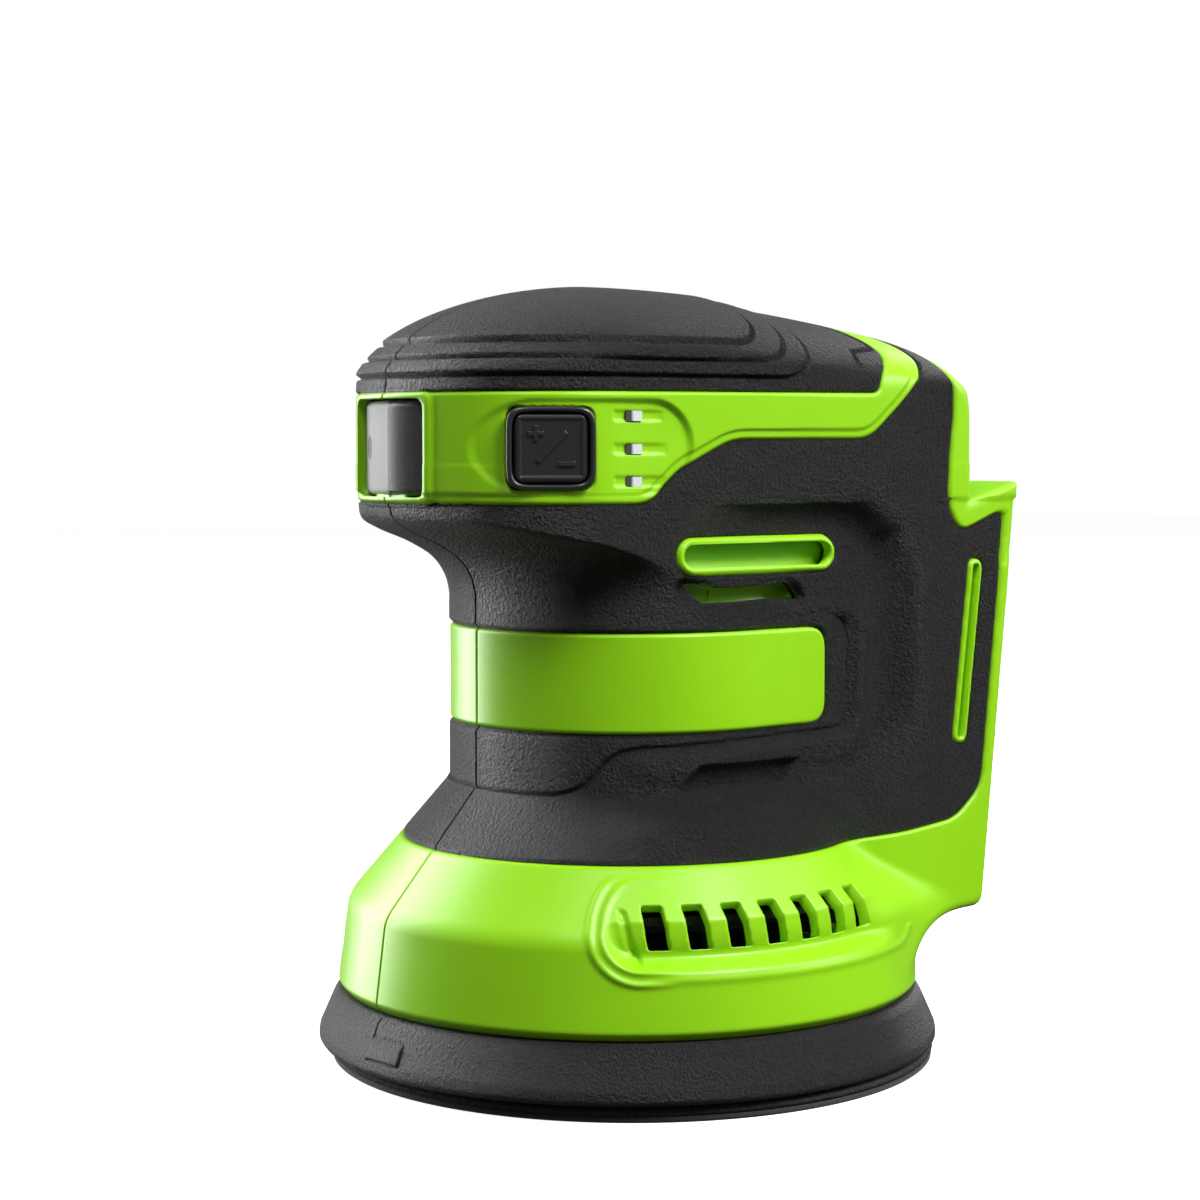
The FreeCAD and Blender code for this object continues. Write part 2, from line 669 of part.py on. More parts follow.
def switch_parts():
    """Switch body, rocker and the clear cover over it."""
    arc_centre = FRONT_ARC_R - HEAD_FRONT
    body = block(-49.0, -33.0, -7.0, 7.0, SWITCH_LOW + 2.6, SWITCH_TOP - 2.6)
    hole = disc(3.1, SWITCH_LOW, SWITCH_TOP, ROCKER_X)
    body = body.cut(hole)
    cheeks = [block(-52, -45, -5, 5, z0, z0 + 1.0) for z0 in (SWITCH_LOW + 1.4, SWITCH_TOP - CHEEK_IN)]
    pin_holes = disc(1.0 + FIT, SWITCH_LOW, SWITCH_TOP, ROCKER_X)
    webs = [block(-48, -45, -5, 5, z0, z0 + 1.2) for z0 in (SWITCH_LOW + 1.4, SWITCH_TOP - 2.6)]
    body = body.fuse(cheeks + webs)
    body = body.cut(pin_holes)
    low = SWITCH_LOW + CHEEK_IN + GAP
    top = SWITCH_TOP - CHEEK_IN - GAP
    tip_y = SWITCH_HALF - 2.0
    half_face = [(-53.2, 0.0), (-53.7, tip_y - 0.4), (-52.1, tip_y), (-50.8, 2.2)]
    face = half_face + [(x, -y) for x, y in reversed(half_face[1:])]
    rocker = prism_xy(face, low, top)
    barrel = disc(2.8, low, top, ROCKER_X)
    axle = disc(1.0, SWITCH_LOW + 1.5, SWITCH_TOP - 1.5, ROCKER_X)
    rocker = joined([rocker, barrel, axle])
    cover = disc(FRONT_ARC_R + 0.5, SWITCH_LOW - 0.0, SWITCH_TOP, arc_centre)
    cover = cover.cut(disc(FRONT_ARC_R - 0.4, 100, 150, arc_centre))
    window = block(-70, -40, -SWITCH_HALF, SWITCH_HALF, SWITCH_LOW, SWITCH_TOP)
    corners = [edge for edge in window.Edges if abs(edge.tangentAt(edge.FirstParameter).x) > 0.9]
    window = window.makeFillet(1.9, corners)
    cover = cover.common(window)
    return {"switch_body": body, "rocker": rocker, "switch_cover": cover}


def button_parts():
    """Speed button in its bezel, the switch behind it and the board."""
    bezel = rounded_plate(-5.0, 0.9, BEZEL_W, BEZEL_H, 2.1)
    bezel = bezel.cut(rounded_plate(-8, 4, BUTTON_W + 2 * GAP, BUTTON_H + 2 * GAP, 1.5))
    cap = rounded_plate(-6.0, 0.6, BUTTON_W, BUTTON_H, 1.3)
    marks = [
        block(0.5, 1.0, -4.6, -1.6, 2.2, 2.8),
        block(0.5, 1.0, -3.4, -2.8, 1.0, 4.0),
        block(0.5, 1.0, 1.2, 4.4, -3.4, -2.8),
    ]
    slash = block(0.5, 1.0, -0.3, 0.3, -3.0, 3.0)
    slash.rotate(Vec(0, 0, 0), X_AXIS, -38)
    stem = Part.makeCylinder(1.8, 1.6, Vec(-7.6, 0, 0), X_AXIS)
    cap = joined([cap, stem] + marks + [slash])
    tact_front = -7.6 - BUTTON_TRAVEL - 0.1
    tact = block(tact_front - 3.0, tact_front, -3.0, 3.0, -3.0, 3.0)
    board_front = tact_front - 3.0
    board = block(board_front - 1.6, board_front, -7.0, 18.0, -8.5, 8.5)
    cable_hole = Part.makeCylinder(1.2, 10, Vec(board_front - 5, -4.5, -5.5), X_AXIS)
    board = board.cut(cable_hole)
    return {
        "button_bezel": button_frame(bezel),
        "speed_button": button_frame(cap),
        "tact_switch": button_frame(tact),
        "control_board": button_frame(board),
    }


def motor_parts():
    """Brushed motor: the fixed pieces and the turning ones."""
    can = disc(CAN_R, CAN_LOW, CAN_TOP).cut(disc(CAN_R - 1.8, CAN_LOW + 1.8, CAN_TOP + 1))
    can = can.cut(disc(MOTOR_BEARING_R + 1.0, CAN_LOW - 1, CAN_LOW + 3))
    for side in (0, 90, 180, 270):
        slot = block(12, 18, -3.5, 3.5, CAN_LOW - 1, CAN_LOW + 3)
        slot.rotate(Vec(0, 0, 0), Z_AXIS, side + 45)
        can = can.cut(slot)
    mount_r = NECK_R + 3.3
    mount = disc(mount_r, 43.0, 46.0).fuse(disc(11.0, 40.2, 43.0))
    mount = mount.cut(disc(MOTOR_BEARING_R, 40.8, 47))
    mount = mount.cut(disc(SHAFT_R + 1.5, 38, 47))
    screws = []
    for sign in (1, -1):
        x = sign * 15.5
        mount = mount.cut(disc(2.1, 40, 50, x))
        can = can.cut(disc(1.8, 40, 52, x))
        screws.append(disc(3.4, 40.8, 43.0, x).fuse(disc(1.8, 42.0, CAN_LOW + 3.5, x)))
    for turn in range(6):
        window = disc(4.6, 40, 50, 29.0)
        window.rotate(Vec(0, 0, 0), Z_AXIS, 30 + 60 * turn)
        mount = mount.cut(window)
    spacer = ring(MOTOR_BEARING_R + 1.2, CAN_R - 1.5, 46.0, CAN_LOW)
    for sign in (1, -1):
        spacer = spacer.cut(disc(2.1, 40, 50, sign * 15.5))
    mount = mount.fuse(spacer)
    magnets = []
    for sign in (1, -1):
        arc = ring(17.2, CAN_R - 1.85, 57.0, 87.0)
        arc = arc.common(block(-FAR, FAR, 3.5, FAR, 0, FAR))
        if sign < 0:
            arc = arc.mirror(Vec(0, 0, 0), Y_AXIS)
        magnets.append(arc)
    cap_low = CAN_TOP - 8.0
    cap = disc(CAN_R - 1.85, CAN_TOP, CAN_TOP + 5.0).fuse(disc(CAN_R, CAN_TOP, CAN_TOP + 2.0))
    cap = cap.fuse(ring(15.6, CAN_R - 1.85, cap_low, CAN_TOP))
    cap = cap.cut(disc(MOTOR_BEARING_R, CAN_TOP - 1, CAN_TOP + 3.6))
    cap = cap.cut(disc(SHAFT_R + 1.0, CAN_TOP, CAN_TOP + 8))
    for sign in (1, -1):
        guide = block(-3.6, 3.6, 8.4, 17.0, cap_low + 0.4, CAN_TOP + 0.01)
        guide = guide.cut(block(-2.5, 2.5, 0, 16.0, cap_low + 1.6, CAN_TOP - 1.4))
        if sign < 0:
            guide = guide.mirror(Vec(0, 0, 0), Y_AXIS)
        cap = cap.fuse(guide)
    bearing_top = CAN_TOP - 1.4
    brushes = []
    springs = []
    for sign in (1, -1):
        brush = block(-2.45, 2.45, 7.05, 13.0, cap_low + 1.65, bearing_top - 0.05)
        ahead = [(1.6 * (-1) ** (fold + 1), 13.1 + 0.6 * fold) for fold in range(5)]
        behind = [(x + 0.6, y) for x, y in reversed(ahead)]
        coil = prism_xy(ahead + behind, cap_low + 2.2, bearing_top - 0.6)
        if sign < 0:
            brush = brush.mirror(Vec(0, 0, 0), Y_AXIS)
            coil = coil.mirror(Vec(0, 0, 0), Y_AXIS)
        brushes.append(brush)
        springs.append(coil)
    commutator = ring(SHAFT_R, 7.0, cap_low + 1.0, CAN_TOP - 1.2)
    bars = 8
    for index in range(bars):
        slit = block(6.0, 8.0, -0.25, 0.25, cap_low + 0.5, CAN_TOP)
        slit.rotate(Vec(0, 0, 0), Z_AXIS, 360.0 / bars * index)
        commutator = commutator.cut(slit)
    core = ring(SHAFT_R, 16.6, 59.0, 85.0)
    windings = []
    for index in range(bars):
        slot = block(8.0, 14.2, -1.7, 1.7, 58, 86)
        mouth = block(13.0, 18.0, -0.8, 0.8, 58, 86)
        slot = slot.fuse(mouth)
        slot.rotate(Vec(0, 0, 0), Z_AXIS, 360.0 / bars * (index + 0.5))
        core = core.cut(slot)
        coil = block(8.05, 14.0, -1.6, 1.6, 58.9, 85.1)
        coil.rotate(Vec(0, 0, 0), Z_AXIS, 360.0 / bars * (index + 0.5))
        windings.append(coil)
    crowns = [ring(7.2, 14.6, 85.0, 88.6), ring(7.2, 14.6, 55.4, 59.0)]
    for crown in crowns:
        windings.append(crown.makeFillet(1.4, [e for e in crown.Edges if e.Length > 60]))
    shaft = disc(SHAFT_R, 28.0, CAN_TOP + 3.5)
    lower = ring(SHAFT_R + FIT, MOTOR_BEARING_R, 40.8, 40.8 + MOTOR_BEARING_H)
    upper = ring(SHAFT_R + FIT, MOTOR_BEARING_R, CAN_TOP - 1.0, CAN_TOP - 1.0 + 4.4)
    return {
        "motor_can": can,
        "motor_mount": mount,
        "motor_screws": Part.makeCompound(screws),
        "motor_magnets": Part.makeCompound(magnets),
        "motor_end_cap": cap,
        "brushes": Part.makeCompound(brushes),
        "brush_springs": Part.makeCompound(springs),
        "commutator": commutator,
        "armature_core": core,
        "windings": joined(windings),
        "motor_shaft": shaft,
        "lower_bearing": lower,
        "upper_bearing": upper,
    }


def drive_parts():
    """Eccentric hub, pad bearing, counterweight and fan on the motor shaft."""
    hub = disc(HUB_R, BEARING_LOW, FAN_LOW + 1.0).fuse(disc(HUB_NECK_R, FAN_LOW, FAN_LOW + 9.0))
    hub = hub.cut(disc(BEARING_OD_R, BEARING_LOW - 1, BEARING_LOW + BEARING_H, ORBIT))
    hub = hub.cut(disc(BEARING_OD_R - 3.5, BEARING_LOW, BEARING_LOW + BEARING_H + 2.2, ORBIT))
    hub = hub.cut(disc(SHAFT_R, 28.0, 40.0))
    bearing_outer = ring(BEARING_OD_R - 2.6, BEARING_OD_R, BEARING_LOW, BEARING_LOW + BEARING_H, ORBIT)
    bearing_inner = ring(BEARING_ID_R, BEARING_ID_R + 2.4, BEARING_LOW, BEARING_LOW + BEARING_H, ORBIT)
    seal_low = BEARING_LOW + 0.8
    seal = ring(BEARING_ID_R + 2.3, BEARING_OD_R - 2.5, seal_low, BEARING_LOW + BEARING_H - 0.8, ORBIT)
    bearing = joined([bearing_outer, bearing_inner, seal])
    weight = ring(HUB_R, HUB_R + 3.5, 18.0, 23.5)
    sector = ring(HUB_R, HUB_R + 15.0, 18.0, 23.5).common(block(-FAR, -9.0, -FAR, FAR, 0, FAR))
    weight = weight.fuse(sector).removeSplitter()
    disc_low = FAN_LOW + 6.4
    fan_collar = ring(HUB_NECK_R, HUB_NECK_R + 3.0, FAN_LOW + 1.2, FAN_LOW + 9.0)
    fan = ring(HUB_NECK_R, FAN_R, disc_low, disc_low + 1.6).fuse(fan_collar)
    blades = 12
    for index in range(blades):
        blade = block(20.0, FAN_R - 0.5, -0.7, 0.7, FAN_LOW, disc_low + 0.2)
        blade.rotate(Vec(20.0, 0, 0), Z_AXIS, -24)
        blade.rotate(Vec(0, 0, 0), Z_AXIS, 360.0 / blades * index)
        fan = fan.fuse(blade.common(disc(FAN_R, 0, 60)))
    return {
        "eccentric_hub": hub,
        "pad_bearing": bearing,
        "counterweight": weight,
        "cooling_fan": fan.removeSplitter(),
    }


def pad_parts():
    """Pad stack on its own axis, one orbit offset behind the motor axis."""
    stub_top = BEARING_LOW + BEARING_H + FIT
    shoulder = BEARING_LOW - FIT
    spindle = disc(HUB_R - 1.0, PLATE_TOP, FLANGE_TOP, ORBIT)
    spindle = spindle.fuse(disc(BEARING_ID_R + 1.6, FLANGE_TOP, shoulder, ORBIT))
    spindle = spindle.fuse(disc(BEARING_ID_R - FIT, shoulder, stub_top, ORBIT))
    spindle = spindle.cut(disc(1.5, stub_top - 7, stub_top + 1, ORBIT))
    screw = disc(4.6, stub_top, stub_top + 1.6, ORBIT).fuse(disc(1.5, stub_top - 6.5, stub_top + 0.2, ORBIT))
    screw = screw.cut(disc(1.2, stub_top + 0.8, stub_top + 3, ORBIT))
    plate = disc(PAD_PLATE_R, FOAM_TOP, PLATE_TOP, ORBIT)
    foam_outline = [
        (0, FACING_H), (PAD_R, FACING_H), (PAD_R, 2.6), (PAD_R - 1.2, 3.1),
        (PAD_UPPER_R, 3.3), (PAD_PLATE_R + 0.8, FOAM_TOP), (0, FOAM_TOP),
    ]
    foam = turned(foam_outline)
    foam.translate(Vec(ORBIT, 0, 0))
    facing = disc(PAD_R - 0.2, 0, FACING_H, ORBIT)
    screws = []
    for index in range(PAD_SCREWS):
        angle = math.radians(45 + 360.0 / PAD_SCREWS * index)
        x = ORBIT + PAD_SCREW_CIRCLE * math.cos(angle)
        y = PAD_SCREW_CIRCLE * math.sin(angle)
        well = disc(4.4, -1, FOAM_TOP, x, y)
        foam = foam.cut(well)
        facing = facing.cut(well)
        hole = disc(2.1, FOAM_TOP - 1, FLANGE_TOP - 0.5, x, y)
        plate = plate.cut(hole)
        spindle = spindle.cut(disc(2.0, PLATE_TOP - 1, FLANGE_TOP - 0.5, x, y))
        screw_head = disc(3.7, FOAM_TOP - 2.4, FOAM_TOP, x, y).cut(disc(1.6, FOAM_TOP - 3, FOAM_TOP - 1.2, x, y))
        screws.append(screw_head.fuse(disc(2.0, FOAM_TOP - 0.5, FLANGE_TOP - 0.6, x, y)))
    for index in range(DUST_HOLES):
        angle = 2 * math.pi * (index + 0.5) / DUST_HOLES
        x = ORBIT + DUST_CIRCLE_R * math.cos(angle)
        y = DUST_CIRCLE_R * math.sin(angle)
        hole = disc(DUST_HOLE_R, -1, PLATE_TOP + 1, x, y)
        foam = foam.cut(hole)
        facing = facing.cut(hole)
        plate = plate.cut(hole)
    rib_count = 8
    ribs = [plate]
    for index in range(rib_count):
        rib = block(21.0, PAD_PLATE_R - 4.0, -0.8, 0.8, PLATE_TOP - 0.1, PLATE_TOP + 1.4)
        rib.rotate(Vec(0, 0, 0), Z_AXIS, 360.0 / rib_count * index)
        rib.translate(Vec(ORBIT, 0, 0))
        ribs.append(rib)
    return {
        "pad_spindle": spindle,
        "spindle_screw": screw,
        "backing_plate": joined(ribs),
        "pad_foam": foam,
        "hook_facing": facing,
        "pad_screws": Part.makeCompound(screws),
    }


def base_inside():
    """Baffle over the fan and the rubber brake ring in the base."""
    baffle_r = 49.8
    baffle = ring(30.0, baffle_r, 34.8, 36.4)
    lip = ring(30.0, 31.5, 34.2, 36.4)
    port = rod_y(PORT_BORE_R + GAP, PORT_X, PORT_Z, 30.0, 60.0)
    return {"fan_baffle": joined([baffle, lip]).cut(port)}


def housing_screws():
    """Seven equal screws through the right shell into the left one."""
    screws = []
    for x, z in HOUSING_SCREWS:
        head = rod_y(SCREW_HEAD_R, x, z, 8.0, 10.2).cut(rod_y(1.3, x, z, 9.0, 11.0))
        screws.append(head.fuse(rod_y(SCREW_R - 0.02, x, z, -12.0, 8.2)))
    return Part.makeCompound(screws)


def terminal_window():
    """Opening in the pocket floor for the terminal block."""
    floor = -POCKET_DEPTH
    return tilted(block(floor - 4.0, floor + 1.0, -TERMINAL_HALF, TERMINAL_HALF, TERMINAL_LOW, TERMINAL_TOP))


def terminal_parts():
    """Terminal block in the pocket floor, with the blades the battery slides over."""
    front = -POCKET_DEPTH
    body = block(front - 8.0, front + 2.0, -TERMINAL_HALF, TERMINAL_HALF, TERMINAL_LOW, TERMINAL_TOP)
    body = body.fuse(block(front, front + 5.0, -12.0, 12.0, 38.0, 44.0))
    blades = []
    for y in (-9.0, -3.0, 3.0, 9.0):
        blade = block(front - 12.0, front + 5.0, y - 0.4, y + 0.4, 44.0, 60.0)
        body = body.cut(block(front - 14.0, front + 6.0, y - 0.4, y + 0.4, 44.0, 60.0))
        blades.append(tilted(blade))
    return {"terminal_block": tilted(body), "contact_blades": Part.makeCompound(blades)}


def wire_run(points, radius):
    """One insulated wire along a smooth run of points."""
    curve = Part.BSplineCurve()
    curve.interpolate([Vec(x, y, z) for x, y, z in points])
    path = Part.Wire(curve.toShape())
    start = curve.tangent(curve.FirstParameter)[0]
    end = Part.Wire(Part.makeCircle(radius, Vec(*points[0]), start))
    return path.makePipeShell([end], True, False)


def wires():
    """Supply wires from the contact blades to the switch, and on to the motor."""
    supply = []
    motor = []
    for sign in (1, -1):
        y = 3.0 * sign
        to_switch = [
            (46.2, y, 86), (38, y, 89), (31.5, y, 98), (28, y, 109), (18, y, 116.5), (0, y, 119.5), (-32.5, y, 124),
        ]
        supply.append(wire_run(to_switch, 1.1))
        start_y = 5.2 * sign
        to_motor = [
            (-32.5, start_y, 119.5), (-22, start_y * 1.5, 118), (-9, sign * 10.5, 112.5), (0, sign * 12, CAN_TOP + 5.2),
        ]
        motor.append(wire_run(to_motor, 0.9))
    return {"supply_wires": Part.makeCompound(supply), "motor_wires": Part.makeCompound(motor)}


def led_lenses():
    """Indicator windows and the light pipes behind them."""
    outer = plan_prism(0.2, 110, 140, HEAD_REAR)
    lenses = [box.common(outer) for box in led_boxes(0.0, FLANK_Y - 6.0, 60)]
    return Part.makeCompound(lenses)


def export(name, shape):
    """Write one node."""
    shape.exportStep("parts/" + name + ".step")


def main():
    os.makedirs("parts", exist_ok=True)
    nodes = {}
    nodes.update(housing_parts())
    nodes.update(switch_parts())
    nodes.update(button_parts())
    nodes.update(motor_parts())
    nodes.update(drive_parts())
    nodes.update(pad_parts())
    nodes.update(base_inside())
    nodes.update(terminal_parts())
    nodes.update(wires())
    nodes["dust_skirt"] = dust_skirt()
    nodes["dust_port"] = dust_port()
    nodes["indicator_lenses"] = led_lenses()
    nodes["housing_screws"] = housing_screws()
    for name, shape in nodes.items():
        export(name, shape)
        print(name, len(shape.Solids), round(shape.Volume), shape.isValid())


main()
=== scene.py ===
# %% [markdown]
# # A palm-grip random-orbit sander
# The mechanical model comes first: every solid of the tool is already packed as a
# fixed frame. Here that frame is dressed. The moulded skins are worked out as
# surfaces, the rubber skirt is a turned profile, and every piece gets a procedural
# finish. Lengths are thought of in millimetres and turned into metres once, when a
# mesh is laid down.

# %% Load the frame
import math
import bpy
import numpy as np
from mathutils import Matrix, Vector


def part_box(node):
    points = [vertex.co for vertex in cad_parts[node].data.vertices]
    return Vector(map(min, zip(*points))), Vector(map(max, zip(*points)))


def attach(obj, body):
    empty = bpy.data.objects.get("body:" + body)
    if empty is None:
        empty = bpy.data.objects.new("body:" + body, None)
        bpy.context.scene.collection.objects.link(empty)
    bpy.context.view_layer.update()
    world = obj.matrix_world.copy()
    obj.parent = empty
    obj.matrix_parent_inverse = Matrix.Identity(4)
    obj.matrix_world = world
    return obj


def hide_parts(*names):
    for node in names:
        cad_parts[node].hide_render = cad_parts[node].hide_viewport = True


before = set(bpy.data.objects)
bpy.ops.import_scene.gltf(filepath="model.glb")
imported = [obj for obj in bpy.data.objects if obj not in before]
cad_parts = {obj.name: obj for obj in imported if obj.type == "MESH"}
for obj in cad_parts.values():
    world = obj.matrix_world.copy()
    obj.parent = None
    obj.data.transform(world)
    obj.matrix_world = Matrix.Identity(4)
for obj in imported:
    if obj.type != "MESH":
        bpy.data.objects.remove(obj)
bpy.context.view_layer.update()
MM = 0.001


def box_mm(node):
    """Lowest and highest corner of a CAD node, in millimetres."""
    low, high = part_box(node)
    return np.array(low) / MM, np.array(high) / MM


# %% [markdown]
# ## Sizes read from the frame
# The frame knows how big everything is, so the surfaces take their main sizes from
# it. Only shapes that a box cannot tell, such as the slope of a wall, are named here.

# %% Main sizes
shell_low, shell_high = box_mm("housing_left")
palm_low, palm_high = box_mm("palm_left")
BASE_R = -shell_low[0]
BASE_Z = shell_low[2]
TIP_X = shell_high[0]
HEAD_FRONT = -palm_low[0]
TOP_Z = palm_high[2]
BAND_TOP = palm_low[2]
WALL_DRAFT = 0.131                  # base wall: radius lost per mm of height
CONE_R, CONE_Z, CONE_SLOPE = 57.0, 34.0, 0.85
NECK_R = 36.9
SIDE_Y = 40.0
HEAD_REAR = 59.2
FRONT_ARC, CORNER_ARC = 50.0, 31.0  # radii of the head's plan
BAND_LOW = 114.5
DOME_X = -11.7                      # where the dome is highest
CREST_FALL = 7.9                    # how far the crest sinks to the rear
TERRACE = 0.5
FLOOR_Y = 35.3                      # half width at the bottom of the hand hollow
FOOT_X, FOOT_Z = 63.8, 29.1         # lower corner of the foot's rear face
WEDGE_LOW, WEDGE_HIGH = 114.3, 118.3
SWITCH_Z = 125.2                    # middle of the switch and the speed button
WEDGE_SLOPE = (WEDGE_HIGH - WEDGE_LOW) / (TIP_X - HEAD_REAR)
REAR_LEAN = math.atan2(TIP_X - FOOT_X, WEDGE_HIGH - FOOT_Z)
LEAN_SIN, LEAN_COS = math.sin(REAR_LEAN), math.cos(REAR_LEAN)
print("base radius", round(BASE_R, 1), "head front", round(HEAD_FRONT, 1), "top", round(TOP_Z, 1))

# %% [markdown]
# ## Fields
# A moulded body is easiest to describe with fields: a number that is negative inside
# and positive outside. Two fields are joined by taking the lower one, and if the
# corner between them is rounded off, the joint becomes a moulded fillet. That is why
# the blend below is used everywhere instead of sharp minima.

# %% Blends and steps


def smooth_min(a, b, width):
    """Lower of two fields; a parabola rounds the corner where they differ by less than width."""
    share = np.clip(0.5 + 0.5 * (b - a) / width, 0, 1)
    return b + (a - b) * share - width * share * (1 - share)


def smooth_max(a, b, width):
    """Higher of two fields with a rounded corner."""
    return -smooth_min(-a, -b, width)


def step(value, low, high):
    """Rises from 0 at low to 1 at high as 3t^2 - 2t^3."""
    t = np.clip((value - low) / (high - low), 0, 1)
    return t * t * (3 - 2 * t)


def smooth_run(points, count=400):
    """Dense curve through a few points: cubic pieces with the mean slope of the chords beside them."""
    p = np.asarray(points, float)
    ends = np.vstack([2 * p[0] - p[1], p, 2 * p[-1] - p[-2]])
    t = np.linspace(0, len(p) - 1 - 1e-9, count)
    i = t.astype(int)
    f = (t - i)[:, None]
    a, b, c, d = ends[i], ends[i + 1], ends[i + 2], ends[i + 3]
    square = (2 * a - 5 * b + 4 * c - d) * f ** 2
    cube = (3 * b - a - 3 * c + d) * f ** 3
    return 0.5 * (2 * b + (c - a) * f + square + cube)


# %% [markdown]
# ### Outlines on the tool's side
# The colour parting, the slots and the hollow are all drawn on the side view, as
# flat outlines in X and Z. Their field is the distance to the outline.

# %% Flat outlines


def softened(corners, radius, arc_steps=6):
    """Outline whose corners become short quadratic curves from radius before to radius after."""
    p = np.asarray(corners, float)
    before, after = np.roll(p, 1, 0), np.roll(p, -1, 0)
    back = before - p
    ahead = after - p
    reach_back = np.minimum(radius, 0.48 * np.linalg.norm(back, axis=1))[:, None]
    reach_ahead = np.minimum(radius, 0.48 * np.linalg.norm(ahead, axis=1))[:, None]
    start = p + back / np.linalg.norm(back, axis=1)[:, None] * reach_back
    end = p + ahead / np.linalg.norm(ahead, axis=1)[:, None] * reach_ahead
    t = np.linspace(0, 1, arc_steps)[None, :, None]
    arc = (1 - t) ** 2 * start[:, None] + 2 * t * (1 - t) * p[:, None] + t ** 2 * end[:, None]
    return arc.reshape(-1, 2)


def outline_field(x, z, outline):
    """Signed distance in the plane to a closed outline; the parity of crossings tells the inside."""
    a = outline
    b = np.roll(outline, -1, 0)
    nearest = np.full(np.shape(x), 1e9)
    inside = np.zeros(np.shape(x), bool)
    for (ax, az), (bx, bz) in zip(a, b):
        ex, ez = bx - ax, bz - az
        wx, wz = x - ax, z - az
        t = np.clip((wx * ex + wz * ez) / (ex * ex + ez * ez + 1e-12), 0, 1)
        nearest = np.minimum(nearest, (wx - ex * t) ** 2 + (wz - ez * t) ** 2)
        beyond = wx * ez < ex * wz if ez > 0 else wx * ez > ex * wz
        inside ^= ((az > z) != (bz > z)) & beyond
    return np.sqrt(nearest) * np.where(inside, -1, 1)


def run_distance(x, z, points):
    """Distance in the plane to an open run of straight pieces, 9 mm at most."""
    nearest = np.full(np.shape(x), 9.0)
    for (ax, az), (bx, bz) in zip(points[:-1], points[1:]):
        ex, ez = bx - ax, bz - az
        t = np.clip(((x - ax) * ex + (z - az) * ez) / (ex ** 2 + ez ** 2), 0, 1)
        nearest = np.minimum(nearest, np.hypot(x - ax - t * ex, z - az - t * ez))
    return nearest


def plate_field(u, v, half_u, half_v, radius):
    """Signed distance to a rounded rectangle centred on (0, 0)."""
    du = np.abs(u) - half_u + radius
    dv = np.abs(v) - half_v + radius
    outside = np.hypot(np.maximum(du, 0), np.maximum(dv, 0))
    return outside + np.minimum(np.maximum(du, dv), 0) - radius


GRIP_OUTLINE = softened([
    (-90, 46), (24.2, 46), (41.5, 46.6), (55.5, 48.3), (62.6, 54.5), (68.7, 112.4), (56.3, 107.6),
    (52.7, 114.0), (53.3, 124.7), (54.2, 132), (54.2, 190), (49.4, 190), (49.0, 143.6), (46.7, 141.0),
    (40.8, 134.8), (31.5, 126.9), (-1.4, 126.8), (-13.4, 120.9), (-20, BAND_LOW), (-90, BAND_LOW),
], 3.2)
PALM_OUTLINE = softened([
    (-90, BAND_TOP), (33.6, BAND_TOP + 0.4), (34.6, 139.2), (37.3, 141.9), (40.3, 144.4), (40.3, 190),
    (-90, 190),
], 1.5)
NECK_BAND = softened([(-90, 69.7), (24.5, 69.7), (24.5, 89.3), (-90, 89.3)], 4.5)
UPPER_SLOT = (6.45, 104.15, 19.95, 3.65)  # middle X and Z, half length, half height
LOWER_SLOT = softened([(-7.2, 94.9), (17.7, 94.9), (13.9, 98.5), (-12.1, 98.5)], 0.8)
FOOT_SLOT = softened([(54.4, 64), (58.4, 63.6), (62.8, 102), (58.8, 102.4)], 2.2)
BADGE = softened([(-13.2, 57.9), (-8.6, 63.9), (16.6, 63.6), (12.6, 58.2)], 1.2)
BELT = softened([
    (-90, 57.3), (-28.4, 57.6), (-23.2, 66.8), (0, 67.9), (29.7, 68.6), (29.7, 91.4), (0, 93.2),
    (-90, 94),
], 4.5)
POCKET = (-31.0, 125.3, 20.0, 8.8)        # round the button: as the upper slot
TERRACES = ((139.3, 19.0), (142.3, 15.0), (145.2, 10.0))
HOOK = ((30.0, 141.2), (31.5, 144.6), (38.0, 145.3), (39.0, 146.4), (36.5, 151.0), (32.0, 156.0))
print("grip outline has", len(GRIP_OUTLINE), "points")

# %% [markdown]
# ## The body as one field
# The lower body is turned: a base wall, a cone and the neck. The head is drawn in
# plan and closed by a rounded dome. The rear block carries the battery foot
# with its wedge and notch, and a soft hollow is pressed into each side for the hand.

# %% Radius of the turned body
OGEE = smooth_run([
    (NECK_R, 93.0), (36.95, 96.0), (38.0, 99.7), (40.6, 103.2), (45.4, 106.2), (51.2, 108.7),
    (55.3, 111.2), (56.8, 114.2), (57.2, 118),
])


def body_radius(z):
    """Radius at height z: chamfer, drafted wall, cone, neck, and the ogee under the head."""
    wall = BASE_R - (z - BASE_Z - 1.6) * WALL_DRAFT
    cone = CONE_R - (z - CONE_Z) * CONE_SLOPE
    chamfer = BASE_R - 1.6 + (z - BASE_Z)
    lower = smooth_min(smooth_min(wall, cone, 1.4), chamfer, 0.5)
    neck = smooth_max(lower, NECK_R, 1.0)
    ogee = np.interp(z, OGEE[:, 1], OGEE[:, 0])
    return np.where(z < 94, neck, np.where(z < BAND_LOW, ogee, 90.0))


def side_width(x, z):
    """Half width of the head and the rear block: the flank, less a soft hollow for the hand."""
    flank = np.minimum(35.92 + (x + 25.15) * 0.068, SIDE_Y)
    hollow = plate_field(x + 30, z - 84.5, 65.0, 22.5, 8.0)
    sunk = (1 - step(hollow, 0.0, 12.5)) * step(x, -25, 0)
    return flank - (flank - FLOOR_Y) * sunk


